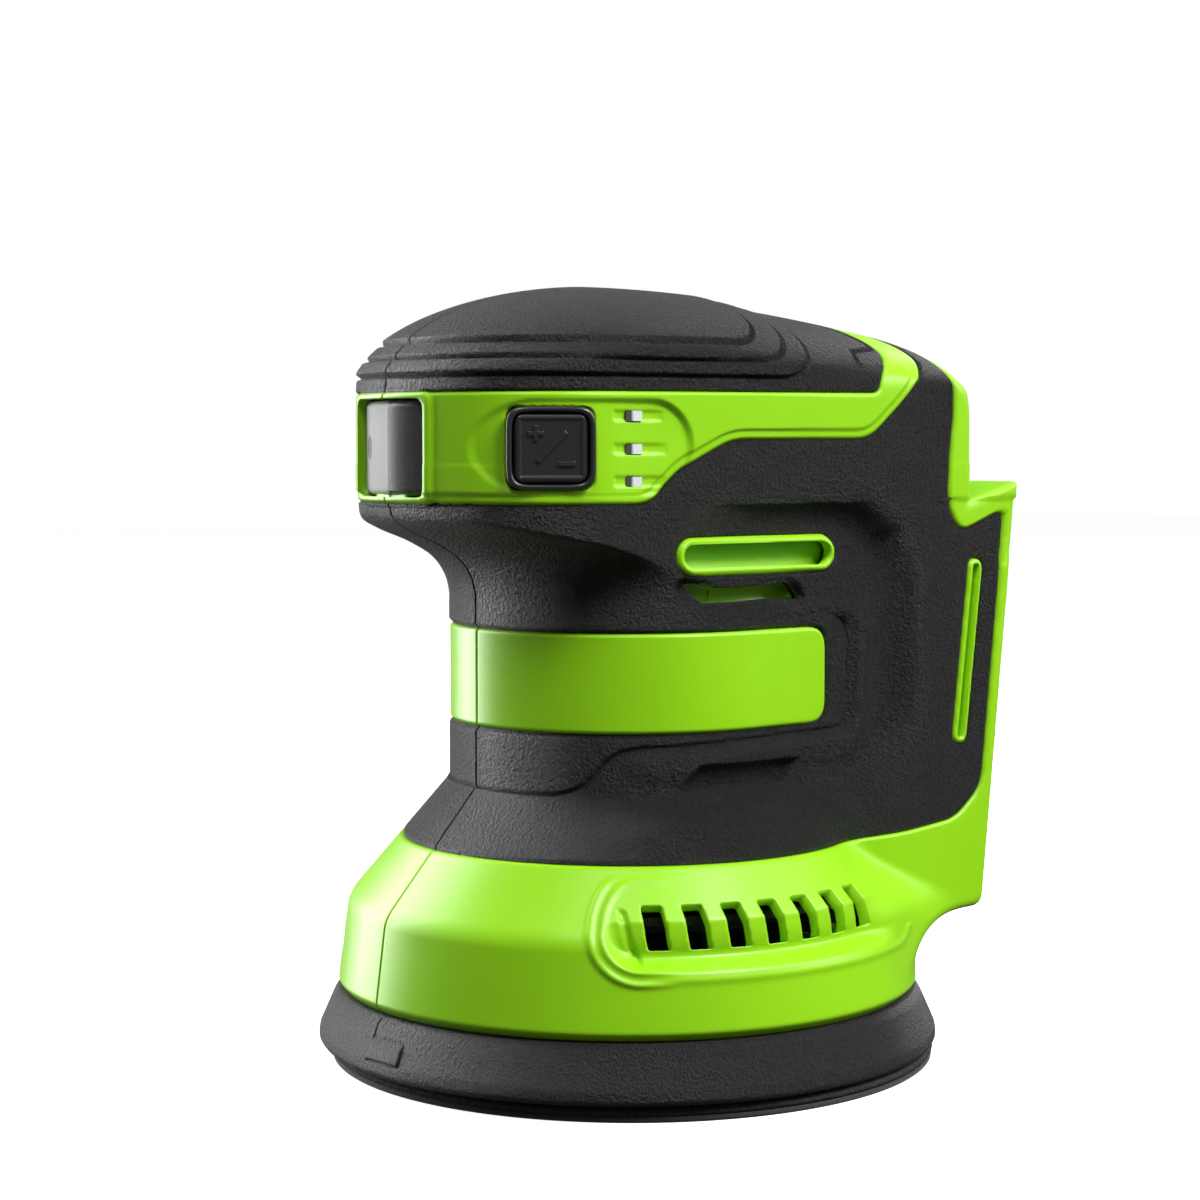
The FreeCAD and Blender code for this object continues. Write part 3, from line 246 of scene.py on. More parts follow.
def plan_field(x, y, z):
    """Distance outside the head's plan: a front arc, a corner arc tangent to it, and the flank."""
    side = np.abs(y)
    half = math.radians(15)
    front_x = FRONT_ARC - HEAD_FRONT
    corner_x = front_x - (FRONT_ARC - CORNER_ARC) * math.cos(half)
    corner_y = (FRONT_ARC - CORNER_ARC) * math.sin(half)
    front = np.hypot(x - front_x, side) - FRONT_ARC
    corner = np.hypot(x - corner_x, side - corner_y) - CORNER_ARC
    ahead = np.where(np.arctan2(side, -(x - front_x)) < half, front, corner)
    return np.where(x > corner_x, side - side_width(x, z), ahead)


def dome_field(x, y, z):
    """Norm in a rounded cushion whose crest falls slowly to the rear and whose edge stands upright."""
    ahead = np.clip(DOME_X - x, 0, None) / (HEAD_FRONT + DOME_X + 0.7)
    behind = np.clip(x - DOME_X, 0, None)
    fall = CREST_FALL * (behind / (HEAD_REAR - DOME_X)) ** 2
    crest = TOP_Z - len(TERRACES) * TERRACE - BAND_TOP - fall
    across = np.abs(y) / (SIDE_Y + 0.8)
    out = (across ** 2.2 + ahead ** 2.2) ** (1 / 2.2)
    up = np.clip(z - BAND_TOP, 0, None) / crest
    return ((out ** 1.85 + up ** 1.85) ** (1 / 1.85) - 1) * 24.0


def back_field(x, z):
    """Rear profile: the foot's leaning face, and above the wedge the head's rear wall."""
    rear = (x - FOOT_X) * LEAN_COS - (z - FOOT_Z) * LEAN_SIN
    wedge = (z - WEDGE_LOW - WEDGE_SLOPE * (x - HEAD_REAR)) * 0.96
    return smooth_max(rear, smooth_min(x - HEAD_REAR, wedge, 1.5), 0.9)


def body_field(x, y, z):
    """The whole outer body: turned form and rear block, cut by the rear profile, plan and dome."""
    side = np.abs(y)
    back = back_field(x, z)
    below = 28.7 + (x - 57) * 0.05 - z
    width = side_width(x, z) - 3.0 * (1 - step(x, -2, 15)) * (1 - step(z, 92, 104))
    rear = smooth_max(smooth_max(back, below, 2.5), side - width, 2.2)
    fillet = 12.0 - 9.0 * step(z, 28, 44) + 5.0 * step(z, 90, 104)
    body = smooth_min(np.hypot(x, y) - body_radius(z), np.maximum(rear, -x), fillet)
    body = smooth_max(body, back, 0.9)
    spare = 4.0 * (1 - step(z, 92, 104)) + 30.0 * (1 - step(z, 55, 75))
    body = smooth_max(body, plan_field(x, y, z) - spare, 1.5)
    crown = smooth_max(dome_field(x, y, z), x - HEAD_REAR, 1.0 + 8.0 * step(z, 130, 147))
    return np.where(z > 122, smooth_max(body, crown, 0.8), body)


# %% [markdown]
# ## Casting the surface
# Rays leave the tool's axis and stop where the field changes sign, so the surface is
# a function of two parameters: the direction round the axis and the row up the tool.
# At the front the rays run level and then fan out over the dome. At the rear they
# climb, so that they can see the top of the wedge and the bottom of the notch.

# %% The rays
ROWS = np.array([
    # row, front height, front climb, rear height, rear climb (degrees)
    (0.0, BASE_Z, 0, BASE_Z, 0), (1.0, 22, 0, 30, -7), (2.0, 29, 0, 46, -14.7), (3.0, 36, 0, 50, -12.2),
    (4.0, 48, 0, 53, -4.4), (5.0, 60, 0, 55, 4.4), (6.0, 80, 0, 62, 15.5), (7.0, 97, 0, 66, 25.5),
    (8.0, 106, 0, 68, 31), (9.0, 110, 0, 70, 33.5), (10.0, 113, 2, 72, 35.9), (11.0, 113, 18, 76, 39.4),
    (12.0, 113, 30, 84, 45), (13.0, 113, 45, 95, 55), (14.0, 113, 65, 105, 70), (15.0, 113, 90, 113, 90),
])


def cast(turn, row):
    """Point where a ray leaves the body, found by halving; turn is in radians from the rear, leftwards."""
    rear = step(np.cos(turn), 0.25, 0.75)
    front_start, front_climb, rear_start, rear_climb = (
        np.interp(row, ROWS[:, 0], ROWS[:, column]) for column in range(1, 5))
    start = front_start * (1 - rear) + rear_start * rear
    climb = np.radians(front_climb * (1 - rear) + rear_climb * rear)
    dx, dy, dz = np.cos(climb) * np.cos(turn), -np.cos(climb) * np.sin(turn), np.sin(climb)
    near = np.zeros(np.shape(turn))
    far = np.full(np.shape(turn), 105.0)
    for _ in range(22):
        middle = 0.5 * (near + far)
        outside = body_field(dx * middle, dy * middle, start + dz * middle) > 0
        near, far = np.where(outside, near, middle), np.where(outside, middle, far)
    reach = 0.5 * (near + far)
    return np.stack([dx * reach, dy * reach, start + dz * reach], -1)


def outward(points):
    """Unit normal: the slope of the field along X, Y and Z."""
    x, y, z = points[..., 0], points[..., 1], points[..., 2]
    here = body_field(x, y, z)
    h = 0.05
    ahead = (body_field(x + h, y, z), body_field(x, y + h, z), body_field(x, y, z + h))
    slope = np.stack([field - here for field in ahead], -1)
    return slope / (np.linalg.norm(slope, axis=-1, keepdims=True) + 1e-9)


def even_steps(lines, values, count):
    """Parameter values that cut the longest of several sample lines into nearly equal steps."""
    lengths = np.linalg.norm(np.diff(lines, axis=1), axis=-1).max(0)
    total = np.concatenate([[0], np.cumsum(lengths + 0.02)])
    return np.interp(np.linspace(0, total[-1], count), total, values)


fine_rows = np.linspace(0, 15, 1200)
fine_turns = np.linspace(0, math.pi, 1200)
sample_turns = np.array([0.0, 0.6, 1.5, 2.3, math.pi])[:, None]
sample_rows = np.array([0.8, 5.5, 8.5, 11.5])[:, None]
meridians = cast(sample_turns + 0 * fine_rows, fine_rows + 0 * sample_turns)
rounds = cast(fine_turns + 0 * sample_rows, sample_rows + 0 * fine_turns)
rows = even_steps(meridians, fine_rows, 560)
turns = even_steps(rounds, fine_turns, 420)
turns = np.sort(np.concatenate([turns, [0.0022, 0.0055, math.pi - 0.0022, math.pi - 0.0055]]))
print("grid of one half:", len(rows), "rows by", len(turns), "turns")

# %% [markdown]
# ## Which piece is where
# The skins part along the outlines. Each field below is negative inside its piece.

# %% Fields of the pieces
VENT_FIRST, VENT_PITCH = 60.6, 8.4     # degrees from the front
VENT_Z, VENT_LEAN, VENT_R = 35.5, 0.22, 56.0
LAMPS_Z = (131.3, 125.0, 118.8)
BUTTON_AT = np.array([-40.0, 32.14, SWITCH_Z])
BUTTON_TURN = math.radians(61.4)
RAIL_HALF, POCKET_FLOOR = 24.0, 12.0   # battery channel: half width, start up the rear face
SLOT_RIM = 1.3                         # hard rim left inside the upper slot's frame
FOOT_RIM = 1.1
SCREWS = (
    (-49.5, 23.5), (49.0, 23.5), (-29.0, 80.0), (40.5, 60.0), (44.0, 104.0), (-37.0, 110.0),
    (44.0, 132.0),
)
SCREW_BORE_R, PORT_X, PORT_Z, PORT_BORE_R = 3.1, 35, 30, 13.55


def front_angle(p):
    """Angle from the front round to the side, in degrees."""
    return np.degrees(np.arctan2(np.abs(p[..., 1]), -p[..., 0]))


def vent_field(p):
    """Seven leaning slots: arc length from the nearest slot's middle line, against height."""
    z = p[..., 2]
    turn = front_angle(p) + (z - VENT_Z) * VENT_LEAN - VENT_FIRST
    turn = turn - VENT_PITCH * np.clip(np.round(turn / VENT_PITCH), 0, 6)
    return plate_field(np.radians(turn) * VENT_R, z - VENT_Z, 2.2, 3.7, 0.4)


def button_place(p):
    """Distance along the corner and height, from the middle of the speed button."""
    behind = (p[..., 0] - BUTTON_AT[0]) * math.sin(BUTTON_TURN)
    beside = (np.abs(p[..., 1]) - BUTTON_AT[1]) * math.cos(BUTTON_TURN)
    return behind + beside, p[..., 2] - BUTTON_AT[2]


def upper_slot_field(p, rim):
    """Stadium-shaped air slot on the side, less a rim."""
    x0, z0, half_x, half_z = UPPER_SLOT
    return plate_field(p[..., 0] - x0, p[..., 2] - z0, half_x - rim, half_z - rim, half_z - rim)


def foot_place(x, z):
    """Distance out of the foot's leaning rear face, and distance up along it."""
    behind, above = x - FOOT_X, z - FOOT_Z
    return behind * LEAN_COS - above * LEAN_SIN, behind * LEAN_SIN + above * LEAN_COS


def hole_field(p, side):
    """Everything that is open; side is -1 on the left (button, lamps) and 1 on the right (port, screws)."""
    x, y, z = p[..., 0], np.abs(p[..., 1]), p[..., 2]
    out, up = foot_place(x, z)
    open_fields = [
        vent_field(p),
        np.maximum(plate_field(y, z - SWITCH_Z, 12.3, 9.5, 2.0), x + 30),
        np.maximum.reduce([y - RAIL_HALF, POCKET_FLOOR - up, -9.9 - out, HEAD_REAR + 0.5 - x]),
        np.maximum(upper_slot_field(p, SLOT_RIM), 20 - y),
        np.maximum(outline_field(x, z, LOWER_SLOT), 20 - y),
        np.maximum(outline_field(x, z, FOOT_SLOT) + FOOT_RIM, 30 - y),
    ]
    if side < 0:
        along, up = button_place(p)
        open_fields.append(np.maximum(plate_field(along, up, 8.5, 7.9, 2.1), x + 15))
        for lamp_z in LAMPS_Z:
            open_fields.append(np.maximum(plate_field(x + 23.5, z - lamp_z, 1.8, 1.0, 0.3), 20 - y))
    else:
        open_fields.append(np.maximum(np.hypot(x - PORT_X, z - PORT_Z) - PORT_BORE_R, 25 - y))
        for screw_x, screw_z in SCREWS:
            open_fields.append(np.maximum(np.hypot(x - screw_x, z - screw_z) - SCREW_BORE_R, 10 - y))
    return np.minimum.reduce(open_fields)


def grip_field(p):
    """Soft grip skin: its outline, less the hard band on the neck and the framed slots."""
    x, z = p[..., 0], p[..., 2]
    field = outline_field(x, z, GRIP_OUTLINE)
    bare = np.minimum(outline_field(x, z, NECK_BAND), upper_slot_field(p, 0))
    bare = np.minimum(bare, np.maximum(outline_field(x, z, FOOT_SLOT), 30 - np.abs(p[..., 1])))
    return np.maximum(field, -bare)


def palm_field(p):
    """Soft palm skin over the dome."""
    return outline_field(p[..., 0], p[..., 2], PALM_OUTLINE)


# %% [markdown]
# ## Relief
# Small steps are pushed in or out along the normal: the moulded terraces of the palm
# skin, the belt and the swell of the grip, the frame of the switch, the shallow
# pocket round the button, the scoop round the vents, and a fine groove wherever two
# mouldings meet.

# %% Relief along the normal


def groove(distance, half_width, depth):
    """Soft V-groove along the zero line of a distance."""
    return -depth * (1 - step(np.abs(distance), 0.0, half_width))


def bell(distance, width):
    """Smooth bump, 1 on the zero line of a distance."""
    return np.exp(-(distance / width) ** 2)


def palm_relief(x, z):
    """Three stacked plates, each with a dark line round its edge, and the hooked line behind them."""
    height = 0.0 * x
    for level_z, level_x in TERRACES:
        inside = -plate_field(x + 200, z - 200, 200 + level_x, 200 - level_z, 9.0)
        height = height + TERRACE * step(inside, -0.1, 0.3) + groove(inside + 0.35, 0.5, 1.0)
    return height + groove(run_distance(x, z, HOOK), 0.5, 0.9)


def grip_relief(x, z):
    """Belt line and ridge, lower swell, sunk badge, hollow behind the neck, rim of the lower slot."""
    belt = outline_field(x, z, BELT)
    ridge = step(belt, 0.0, 2.6) * (1 - step(belt, 3.4, 9.0)) * step(x, -27, -17) * step(96 - z, 0, 5)
    height = 1.7 * ridge + groove(belt + 0.1, 0.45, 0.9) * step(92 - z, 0, 2)
    swell = bell(z - 51.0, 3.2) * step(x, -30, -19) * step(34 - x, 0, 12)
    badge = step(-outline_field(x, z, BADGE), -0.2, 1.2)
    hollow = plate_field(x, z - 86, 41.0, 25.0, 16.0)
    valley = bell(hollow, 2.8) * step(x, -12, 8) * step(z, 62, 74)
    rim = step(-outline_field(x, z, LOWER_SLOT), -2.0, -0.2)
    return height + 2.0 * swell - 1.6 * badge - 1.5 * valley - 1.3 * rim


def button_relief(p, frame_line):
    """Pocket round the speed button, outside the switch's frame, and a groove by each lamp."""
    x, y, z = p[..., 0], np.abs(p[..., 1]), p[..., 2]
    middle_x, middle_z, half_x, half_z = POCKET
    pocket = np.maximum(plate_field(x - middle_x, z - middle_z, half_x, half_z, 8.7), x + 3)
    sink = 0.45 + 0.55 * step(x, -40, -18) * step(z, 114, 130)
    height = -sink * step(-pocket, -0.7, 0.5) * (frame_line > 0.5) * (z > BAND_LOW)
    for lamp_z in LAMPS_Z:
        reach = 8.0 if lamp_z < 128 else 7.0
        lamp = plate_field(x + 26.0 - reach / 2, z - lamp_z, reach / 2 + 2.0, 1.0, 0.4)
        height = height - 0.35 * step(-lamp, -0.3, 0.5) * step(-x, 13.5, 20.0) * (y > 25)
    return height


def scoop_relief(p):
    """Scoop round the vents, the crescent lines at its front end and the blind slot there."""
    z = p[..., 2]
    angle = front_angle(p)
    bowl = plate_field((angle - 90.0) * 0.98, z - 35.6, 39.0, 8.0, 7.4)
    target = 54.9 - np.hypot(p[..., 0], p[..., 1])
    scoop = step(-bowl, -0.6, 3.0) * np.clip(target, -3.4, 0) * step(124 - angle, 0, 16)
    crescent = (bell(bowl - 2.3, 0.6) + bell(bowl + 0.1, 0.6)) * step(66 - angle, 0, 9)
    crescent = crescent + 0.5 * bell(bowl - 1.6, 0.8) * (z < 29) * step(angle, 57, 66)
    across = np.radians(angle + (z - 33.7) * 0.36 - 55.4) * VENT_R
    blind = plate_field(across, z - 33.7, 0.7, 4.8, 0.5)
    lines = 0.55 * crescent * step(44.5 - z, 0, 3) - 0.8 * step(-blind, -0.3, 0.5)
    return np.where(z < 46, scoop, 0.0) + np.where(z < 44, lines, 0.0)


def relief(p, side, part_line):
    """Height of the fine relief in mm; part_line is the distance to the nearest colour parting."""
    x, y, z = p[..., 0], np.abs(p[..., 1]), p[..., 2]
    height = -0.4 * (1 - step(y, 0.0, 0.34)) - 0.55 * (1 - step(part_line, 0.0, 0.55))
    height = height + np.where(z > 136, palm_relief(x, z), 0.0)
    height = height + np.where((z > 46.2) & (z < 114) & (x < 50), grip_relief(x, z), 0.0)
    slot_frame = 0.5 * step(-upper_slot_field(p, -0.1), -0.1, 0.6)
    height = height + np.where((z > 98) & (z < 110), slot_frame, 0.0)
    neck_line = outline_field(x, z, NECK_BAND)
    neck = groove(neck_line - 0.35, 0.6, 0.45) - 0.25 * step(-neck_line, -0.2, 0.2)
    height = height + np.where((z > 66) & (z < 93), neck, 0.0)
    frame_line = plate_field(y, z - SWITCH_Z, 13.9, 11.1, 2.6)
    height = height + 0.75 * step(-frame_line, -0.5, 0.5) * (x < -30)
    if side < 0:
        height = height + button_relief(p, frame_line)
    height = height + scoop_relief(p)
    ledge = outline_field(x, z, GRIP_OUTLINE)
    on_band = (z > 114) & (z < 142) & (x < 43) & (x > -60)
    band = 0.45 * step(ledge, 1.6, 2.1) + groove(ledge - 1.9, 0.4, 0.12)
    return height + np.where(on_band, band, 0.0)


# %% [markdown]
# ## Cutting the sheet into pieces
# A grid does not follow the parting lines by itself. The vertices that touch a
# parting are slid over the surface until they lie on it, by two Newton steps, so the
# edges of the pieces are clean curves. Each cut edge then gets a turned-in
# wall, which gives the moulding its thickness in the slots and at the joints.

# %% Slide the border onto the parting lines


def fields_at(p, side):
    """The three parting fields, stacked: open, palm, grip."""
    return np.stack([hole_field(p, side), palm_field(p), grip_field(p)])


def labels_of(fields):
    """0 shell, 1 grip, 2 palm, 3 open."""
    return np.where(fields[0] < 0, 3, np.where(fields[1] < 0, 2, np.where(fields[2] < 0, 1, 0)))


def cell_mean(values):
    """Mean of the four corners of every quad of a grid, over the last two axes."""
    upper = values[..., 1:, 1:] + values[..., 1:, :-1]
    return 0.25 * (upper + values[..., :-1, 1:] + values[..., :-1, :-1])


def grid_quads(number):
    """Corners of every quad of a grid of point numbers."""
    return np.stack([number[:-1, :-1], number[1:, :-1], number[1:, 1:], number[:-1, 1:]], -1)


def rim_edges(quads, count):
    """Edges that belong to one quad only, among quads over count points."""
    sides = [quads[:, [first, second]] for first, second in ((0, 1), (1, 2), (2, 3), (3, 0))]
    edges = np.concatenate(sides)
    edges = edges[edges[:, 0] != edges[:, 1]]
    code = np.sort(edges, 1) @ np.array([count, 1])
    _, where, times = np.unique(code, return_inverse=True, return_counts=True)
    return edges[times[where] == 1]


def half_skin(side):
    """Points, normals and quad labels for one half of the body, with its borders slid into place."""
    count_r, count_t = np.arange(len(rows)), np.arange(len(turns))
    index_r, index_t = np.meshgrid(count_r.astype(float), count_t.astype(float), indexing="ij")
    p = cast(turns[None] + 0 * index_r, rows[:, None] + 0 * index_t)
    fields = fields_at(p, side)
    labels = labels_of(cell_mean(fields))
    padded = np.pad(labels, 1, mode="edge")
    corners = np.stack([padded[1:, 1:], padded[1:, :-1], padded[:-1, 1:], padded[:-1, :-1]])
    opened = (corners == 3).any(0)
    which = np.where(opened, 0, np.where(np.abs(fields[1]) < np.abs(fields[2]), 1, 2))
    at = np.nonzero((corners != corners[0]).any(0))
    pick = which[at]
    slope_r = np.gradient(fields, axis=1)[pick, at[0], at[1]]
    slope_t = np.gradient(fields, axis=2)[pick, at[0], at[1]]
    slope_t = np.where((at[1] == 0) | (at[1] == len(turns) - 1), 0.0, slope_t)
    slope_r = np.where((at[0] == 0) | (at[0] == len(rows) - 1), 0.0, slope_r)
    norm = slope_r ** 2 + slope_t ** 2 + 1e-4
    place_r, place_t = index_r[at], index_t[at]
    value = fields[pick, at[0], at[1]]
    for _ in range(2):
        place_r = place_r - np.clip(value * slope_r / norm, -0.7, 0.7)
        place_t = place_t - np.clip(value * slope_t / norm, -0.7, 0.7)
        place_r = np.clip(place_r, at[0] - 0.95, at[0] + 0.95)
        place_t = np.clip(place_t, at[1] - 0.95, at[1] + 0.95)
        moved = cast(np.interp(place_t, count_t, turns), np.interp(place_r, count_r, rows))
        value = fields_at(moved[:, None], side)[pick, np.arange(len(pick)), 0]
    p[at] = moved
    normals = outward(p)
    final = fields_at(p, side)
    part_line = np.minimum(np.abs(final[1]), np.abs(final[2]))
    p = p + normals * relief(p, side, part_line)[..., None]
    return p, normals, labels


def cut_piece(p, normals, labels, label, side, wall):
    """One labelled piece: its quads, and a wall turned in along the normals at its edge."""
    number = np.arange(p[..., 0].size).reshape(p.shape[:2])
    number[-1, :] = number[-1, 0]
    used, local = np.unique(grid_quads(number)[labels == label], return_inverse=True)
    quads = local.reshape(-1, 4)
    verts = p.reshape(-1, 3)[used]
    inward = -normals.reshape(-1, 3)[used]
    rim = rim_edges(quads, len(verts))
    ends, back = np.unique(rim, return_inverse=True)
    back = back.reshape(-1, 2)
    walls = np.stack([rim[:, 1], rim[:, 0], back[:, 0] + len(verts), back[:, 1] + len(verts)], -1)
    verts = np.concatenate([verts, verts[ends] + inward[ends] * wall])
    faces = np.concatenate([quads, walls])
    if side > 0:
        verts = verts * np.array([1, -1, 1])
        faces = faces[:, ::-1]
    return verts, faces


def lay_mesh(name, verts, faces, body, finish, stands_for=()):
    """Object at the origin from points in mm; a quad with a repeated corner becomes a triangle."""
    faces = np.asarray(faces)
    keep = faces != np.roll(faces, 1, axis=1)
    counts = keep.sum(1)
    keep, faces, counts = keep[counts > 2], faces[counts > 2], counts[counts > 2]
    mesh = bpy.data.meshes.new(name)
    mesh.vertices.add(len(verts))
    mesh.vertices.foreach_set("co", (np.asarray(verts, float) * MM).ravel())
    mesh.loops.add(int(counts.sum()))
    mesh.loops.foreach_set("vertex_index", faces[keep].astype(np.int32))
    mesh.polygons.add(len(counts))
    mesh.polygons.foreach_set("loop_start", (np.cumsum(counts) - counts).astype(np.int32))
    mesh.update(calc_edges=True)
    mesh.shade_smooth()
    piece = bpy.data.objects.new(name, mesh)
    bpy.context.scene.collection.objects.link(piece)
    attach(piece, body)
    if stands_for:
        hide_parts(*stands_for)
    made[name] = piece
    slot_names[name] = finish
    print(name, len(verts), "points", len(counts), "faces")
    return piece


made = {}
slot_names = {}
SKINS = (
    ("shell", "housing", "lime_plastic", 2.4),
    ("grip_skin", "grip", "soft_grip", 1.3),
    ("palm_skin", "palm", "soft_grip", 1.3),
)


def slot_floors(p, normals, side):
    """Floor behind the three side slots: the same surface, sunk 4 mm."""
    centre = np.stack([cell_mean(p[..., axis]) for axis in range(3)], -1)
    x, y, z = centre[..., 0], np.abs(centre[..., 1]), centre[..., 2]
    slots = np.minimum(upper_slot_field(centre, SLOT_RIM), outline_field(x, z, LOWER_SLOT))
    slots = np.minimum(slots, outline_field(x, z, FOOT_SLOT) + FOOT_RIM)
    mask = ((slots < 2.0) & (y > 24)).astype(int)
    return cut_piece(p - 4.0 * normals, normals, mask, 1, side, 0.6)


for side, hand in ((-1, "left"), (1, "right")):
    grid, grid_normals, grid_labels = half_skin(side)
    for label, (title, node, finish, wall) in enumerate(SKINS):
        verts, faces = cut_piece(grid, grid_normals, grid_labels, label, side, wall)
        lay_mesh(title + "_" + hand, verts, faces, "housing", finish, (node + "_" + hand,))
    verts, faces = slot_floors(grid, grid_normals, side)
    lay_mesh("slot_floor_" + hand, verts, faces, "housing", "lime_plastic")

# %% [markdown]
# ## The battery pocket
# The foot's rear face is open for a slide-on battery. The lips of the opening hook
# over the battery's rails, so the section is a T. It is a profile carried up the
# leaning face, each point ending where it meets the wedge.

# %% Carried profiles


def foot_point(out, y, up):
    """Point from distances out of the foot's rear face, across it and up along it."""
    x = FOOT_X + out * LEAN_COS + up * LEAN_SIN
    return np.stack([x, y + 0 * out, FOOT_Z - out * LEAN_SIN + up * LEAN_COS], -1)


def grid_faces(n_rows, n_columns, wrap=False):
    """Quads of a grid of points numbered row by row; wrap joins the last column to the first."""
    number = np.arange(n_rows * n_columns).reshape(n_rows, n_columns)
    if wrap:
        number = np.concatenate([number, number[:, :1]], 1)
    return grid_quads(number)[..., [0, 3, 2, 1]].reshape(-1, 4)


def pocket_liner():
    """T section carried from the pocket's lower end to the wedge, and a plate at the lower end."""
    lip, ledge, deep, rail, wide = -0.6, -3, -10, RAIL_HALF, 28
    half = [(lip, rail), (ledge, rail), (ledge, wide), (deep, wide)]
    section = np.array(half + [(out, -y) for out, y in reversed(half)], float)
    between = np.linspace(0, 1, 9)[:-1][None, :, None]
    path = (section[:-1, None] * (1 - between) + section[1:, None] * between).reshape(-1, 2)
    path = np.vstack([path, section[-1:]])
    out, across = path[:, 0], path[:, 1]
    rise = WEDGE_LOW - FOOT_Z + WEDGE_SLOPE * (FOOT_X - HEAD_REAR) - 0.5
    top = (rise + out * (WEDGE_SLOPE * LEAN_COS + LEAN_SIN)) / (LEAN_COS - WEDGE_SLOPE * LEAN_SIN)
    top = np.where(np.abs(across) > rail + 0.1, top - 1.2, top)
    share = np.linspace(0, 1, 24)[:, None]
    up = POCKET_FLOOR * (1 - share) + top[None] * share
    walls = foot_point(out[None] + 0 * share, across[None] + 0 * share, up)
    plate_out, plate_y = np.array([lip, lip, deep, deep]), np.array([-wide, wide, wide, -wide])
    floor = foot_point(plate_out.astype(float), plate_y.astype(float), np.full(4, POCKET_FLOOR))
    verts = np.vstack([walls.reshape(-1, 3), floor])
    floor_quad = np.arange(4)[None] + len(verts) - 4
    return verts, np.vstack([grid_faces(*walls.shape[:2]), floor_quad])


lay_mesh("battery_pocket", *pocket_liner(), "housing", "lime_plastic")

# %% [markdown]
# ## The dust skirt
# The skirt is a profile turned about the tool's axis. It is split at the front,
# where its two ends hook into each other: a thin stepped groove in its outer face.

# %% Profiles and turning


def dense(profile, radius, spacing):
    """Closed profile with its corners rounded and its runs cut into steps of at most spacing."""
    line = softened(profile, radius, 5)
    ends = np.roll(line, -1, 0)
    counts = np.maximum(1, np.ceil(np.linalg.norm(ends - line, axis=1) / spacing).astype(int))
    which = np.repeat(np.arange(len(line)), counts)
    place = np.arange(counts.sum()) - np.repeat(np.cumsum(counts) - counts, counts)
    share = place / np.repeat(counts, counts)
    return line[which] * (1 - share[:, None]) + ends[which] * share[:, None]


def turned(profile, count):
    """Closed profile of (radius, height) carried round the Z axis."""
    angle = np.linspace(0, 2 * math.pi, count, endpoint=False)
    radius, height = profile[:, 0][:, None], profile[:, 1][:, None]
    points = np.stack([radius * np.cos(angle), radius * np.sin(angle), height + 0 * angle], -1)
    faces = grid_faces(len(points) + 1, count, wrap=True)
    return points, faces % (len(points) * count)


SKIRT_OUTLINE = [
    (63.3, 3.5), (64.1, 4.6), (63.9, 6.4), (60.9, 13.2), (59.8, 14.5), (58.2, 14.5), (55.0, 14.5),
    (55.0, 12.9), (58.8, 12.1), (61.8, 6.2), (61.6, 3.5),
]
SKIRT_JOINT = ((2.4, 14.5), (2.4, 10.6), (12.2, 10.6), (12.2, 6.6), (2.4, 6.6))


def skirt_mesh():
    """Turned skirt, its outer face sunk along the stepped joint and raised inside the hook."""
    profile = dense(SKIRT_OUTLINE, 0.45, 0.45)
    points, faces = turned(profile, 1440)
    x, y, z = points[..., 0], points[..., 1], points[..., 2]
    radius = np.hypot(x, y)
    along = np.degrees(np.arctan2(-y, -x)) * 1.09
    outer = (radius > 62.7 - (z - 6.4) * 0.45) & (radius > 59.6) & (z > 3.9) & (z < 14.2)
    sink = 0.5 * (1 - step(run_distance(along, z, SKIRT_JOINT), 0.0, 0.34)) * outer
    tab = step(along, 2.4, 2.8) * step(12.2 - along, 0, 0.4) * step(z, 6.6, 7.0) * step(10.6 - z, 0, 0.4)
    raised = 0.22 * tab * outer
    scale = ((radius - sink + raised) / radius)[..., None]
    points = points * np.concatenate([scale, scale, np.ones_like(scale)], -1)
    return points.reshape(-1, 3), faces


lay_mesh("skirt_rubber_ring", *skirt_mesh(), "housing", "skirt_rubber", ("dust_skirt",))

# %% [markdown]
# ### The pad
# The foam takes the shape of the work, and its face is a hook fabric that holds the
# disc. Both have eight dust holes, and four holes over the pad screws. Each face is a
# flat ring grid whose points slide onto the hole edges, and the hole walls are the
# borders carried down.

# %% Foam and hook facing
PAD_X = 1.2  # the pad's axis, off the motor's


def hole_ring(count, reach, radius):
    """Evenly spaced holes as (x, y, radius), half a pitch round from the X axis."""
    turns = [(k + 0.5) * 2 * math.pi / count for k in range(count)]
    return [(reach * math.cos(turn), reach * math.sin(turn), radius) for turn in turns]


HOLES = hole_ring(8, 32.5, 5.0) + hole_ring(4, 11.0, 4.4)


def hole_distance(x, y):
    """Distance to the nearest hole's edge, negative inside a hole."""
    field = np.full(np.shape(x), 99.0)
    for hx, hy, hr in HOLES:
        field = np.minimum(field, np.hypot(x - hx, y - hy) - hr)
    return field


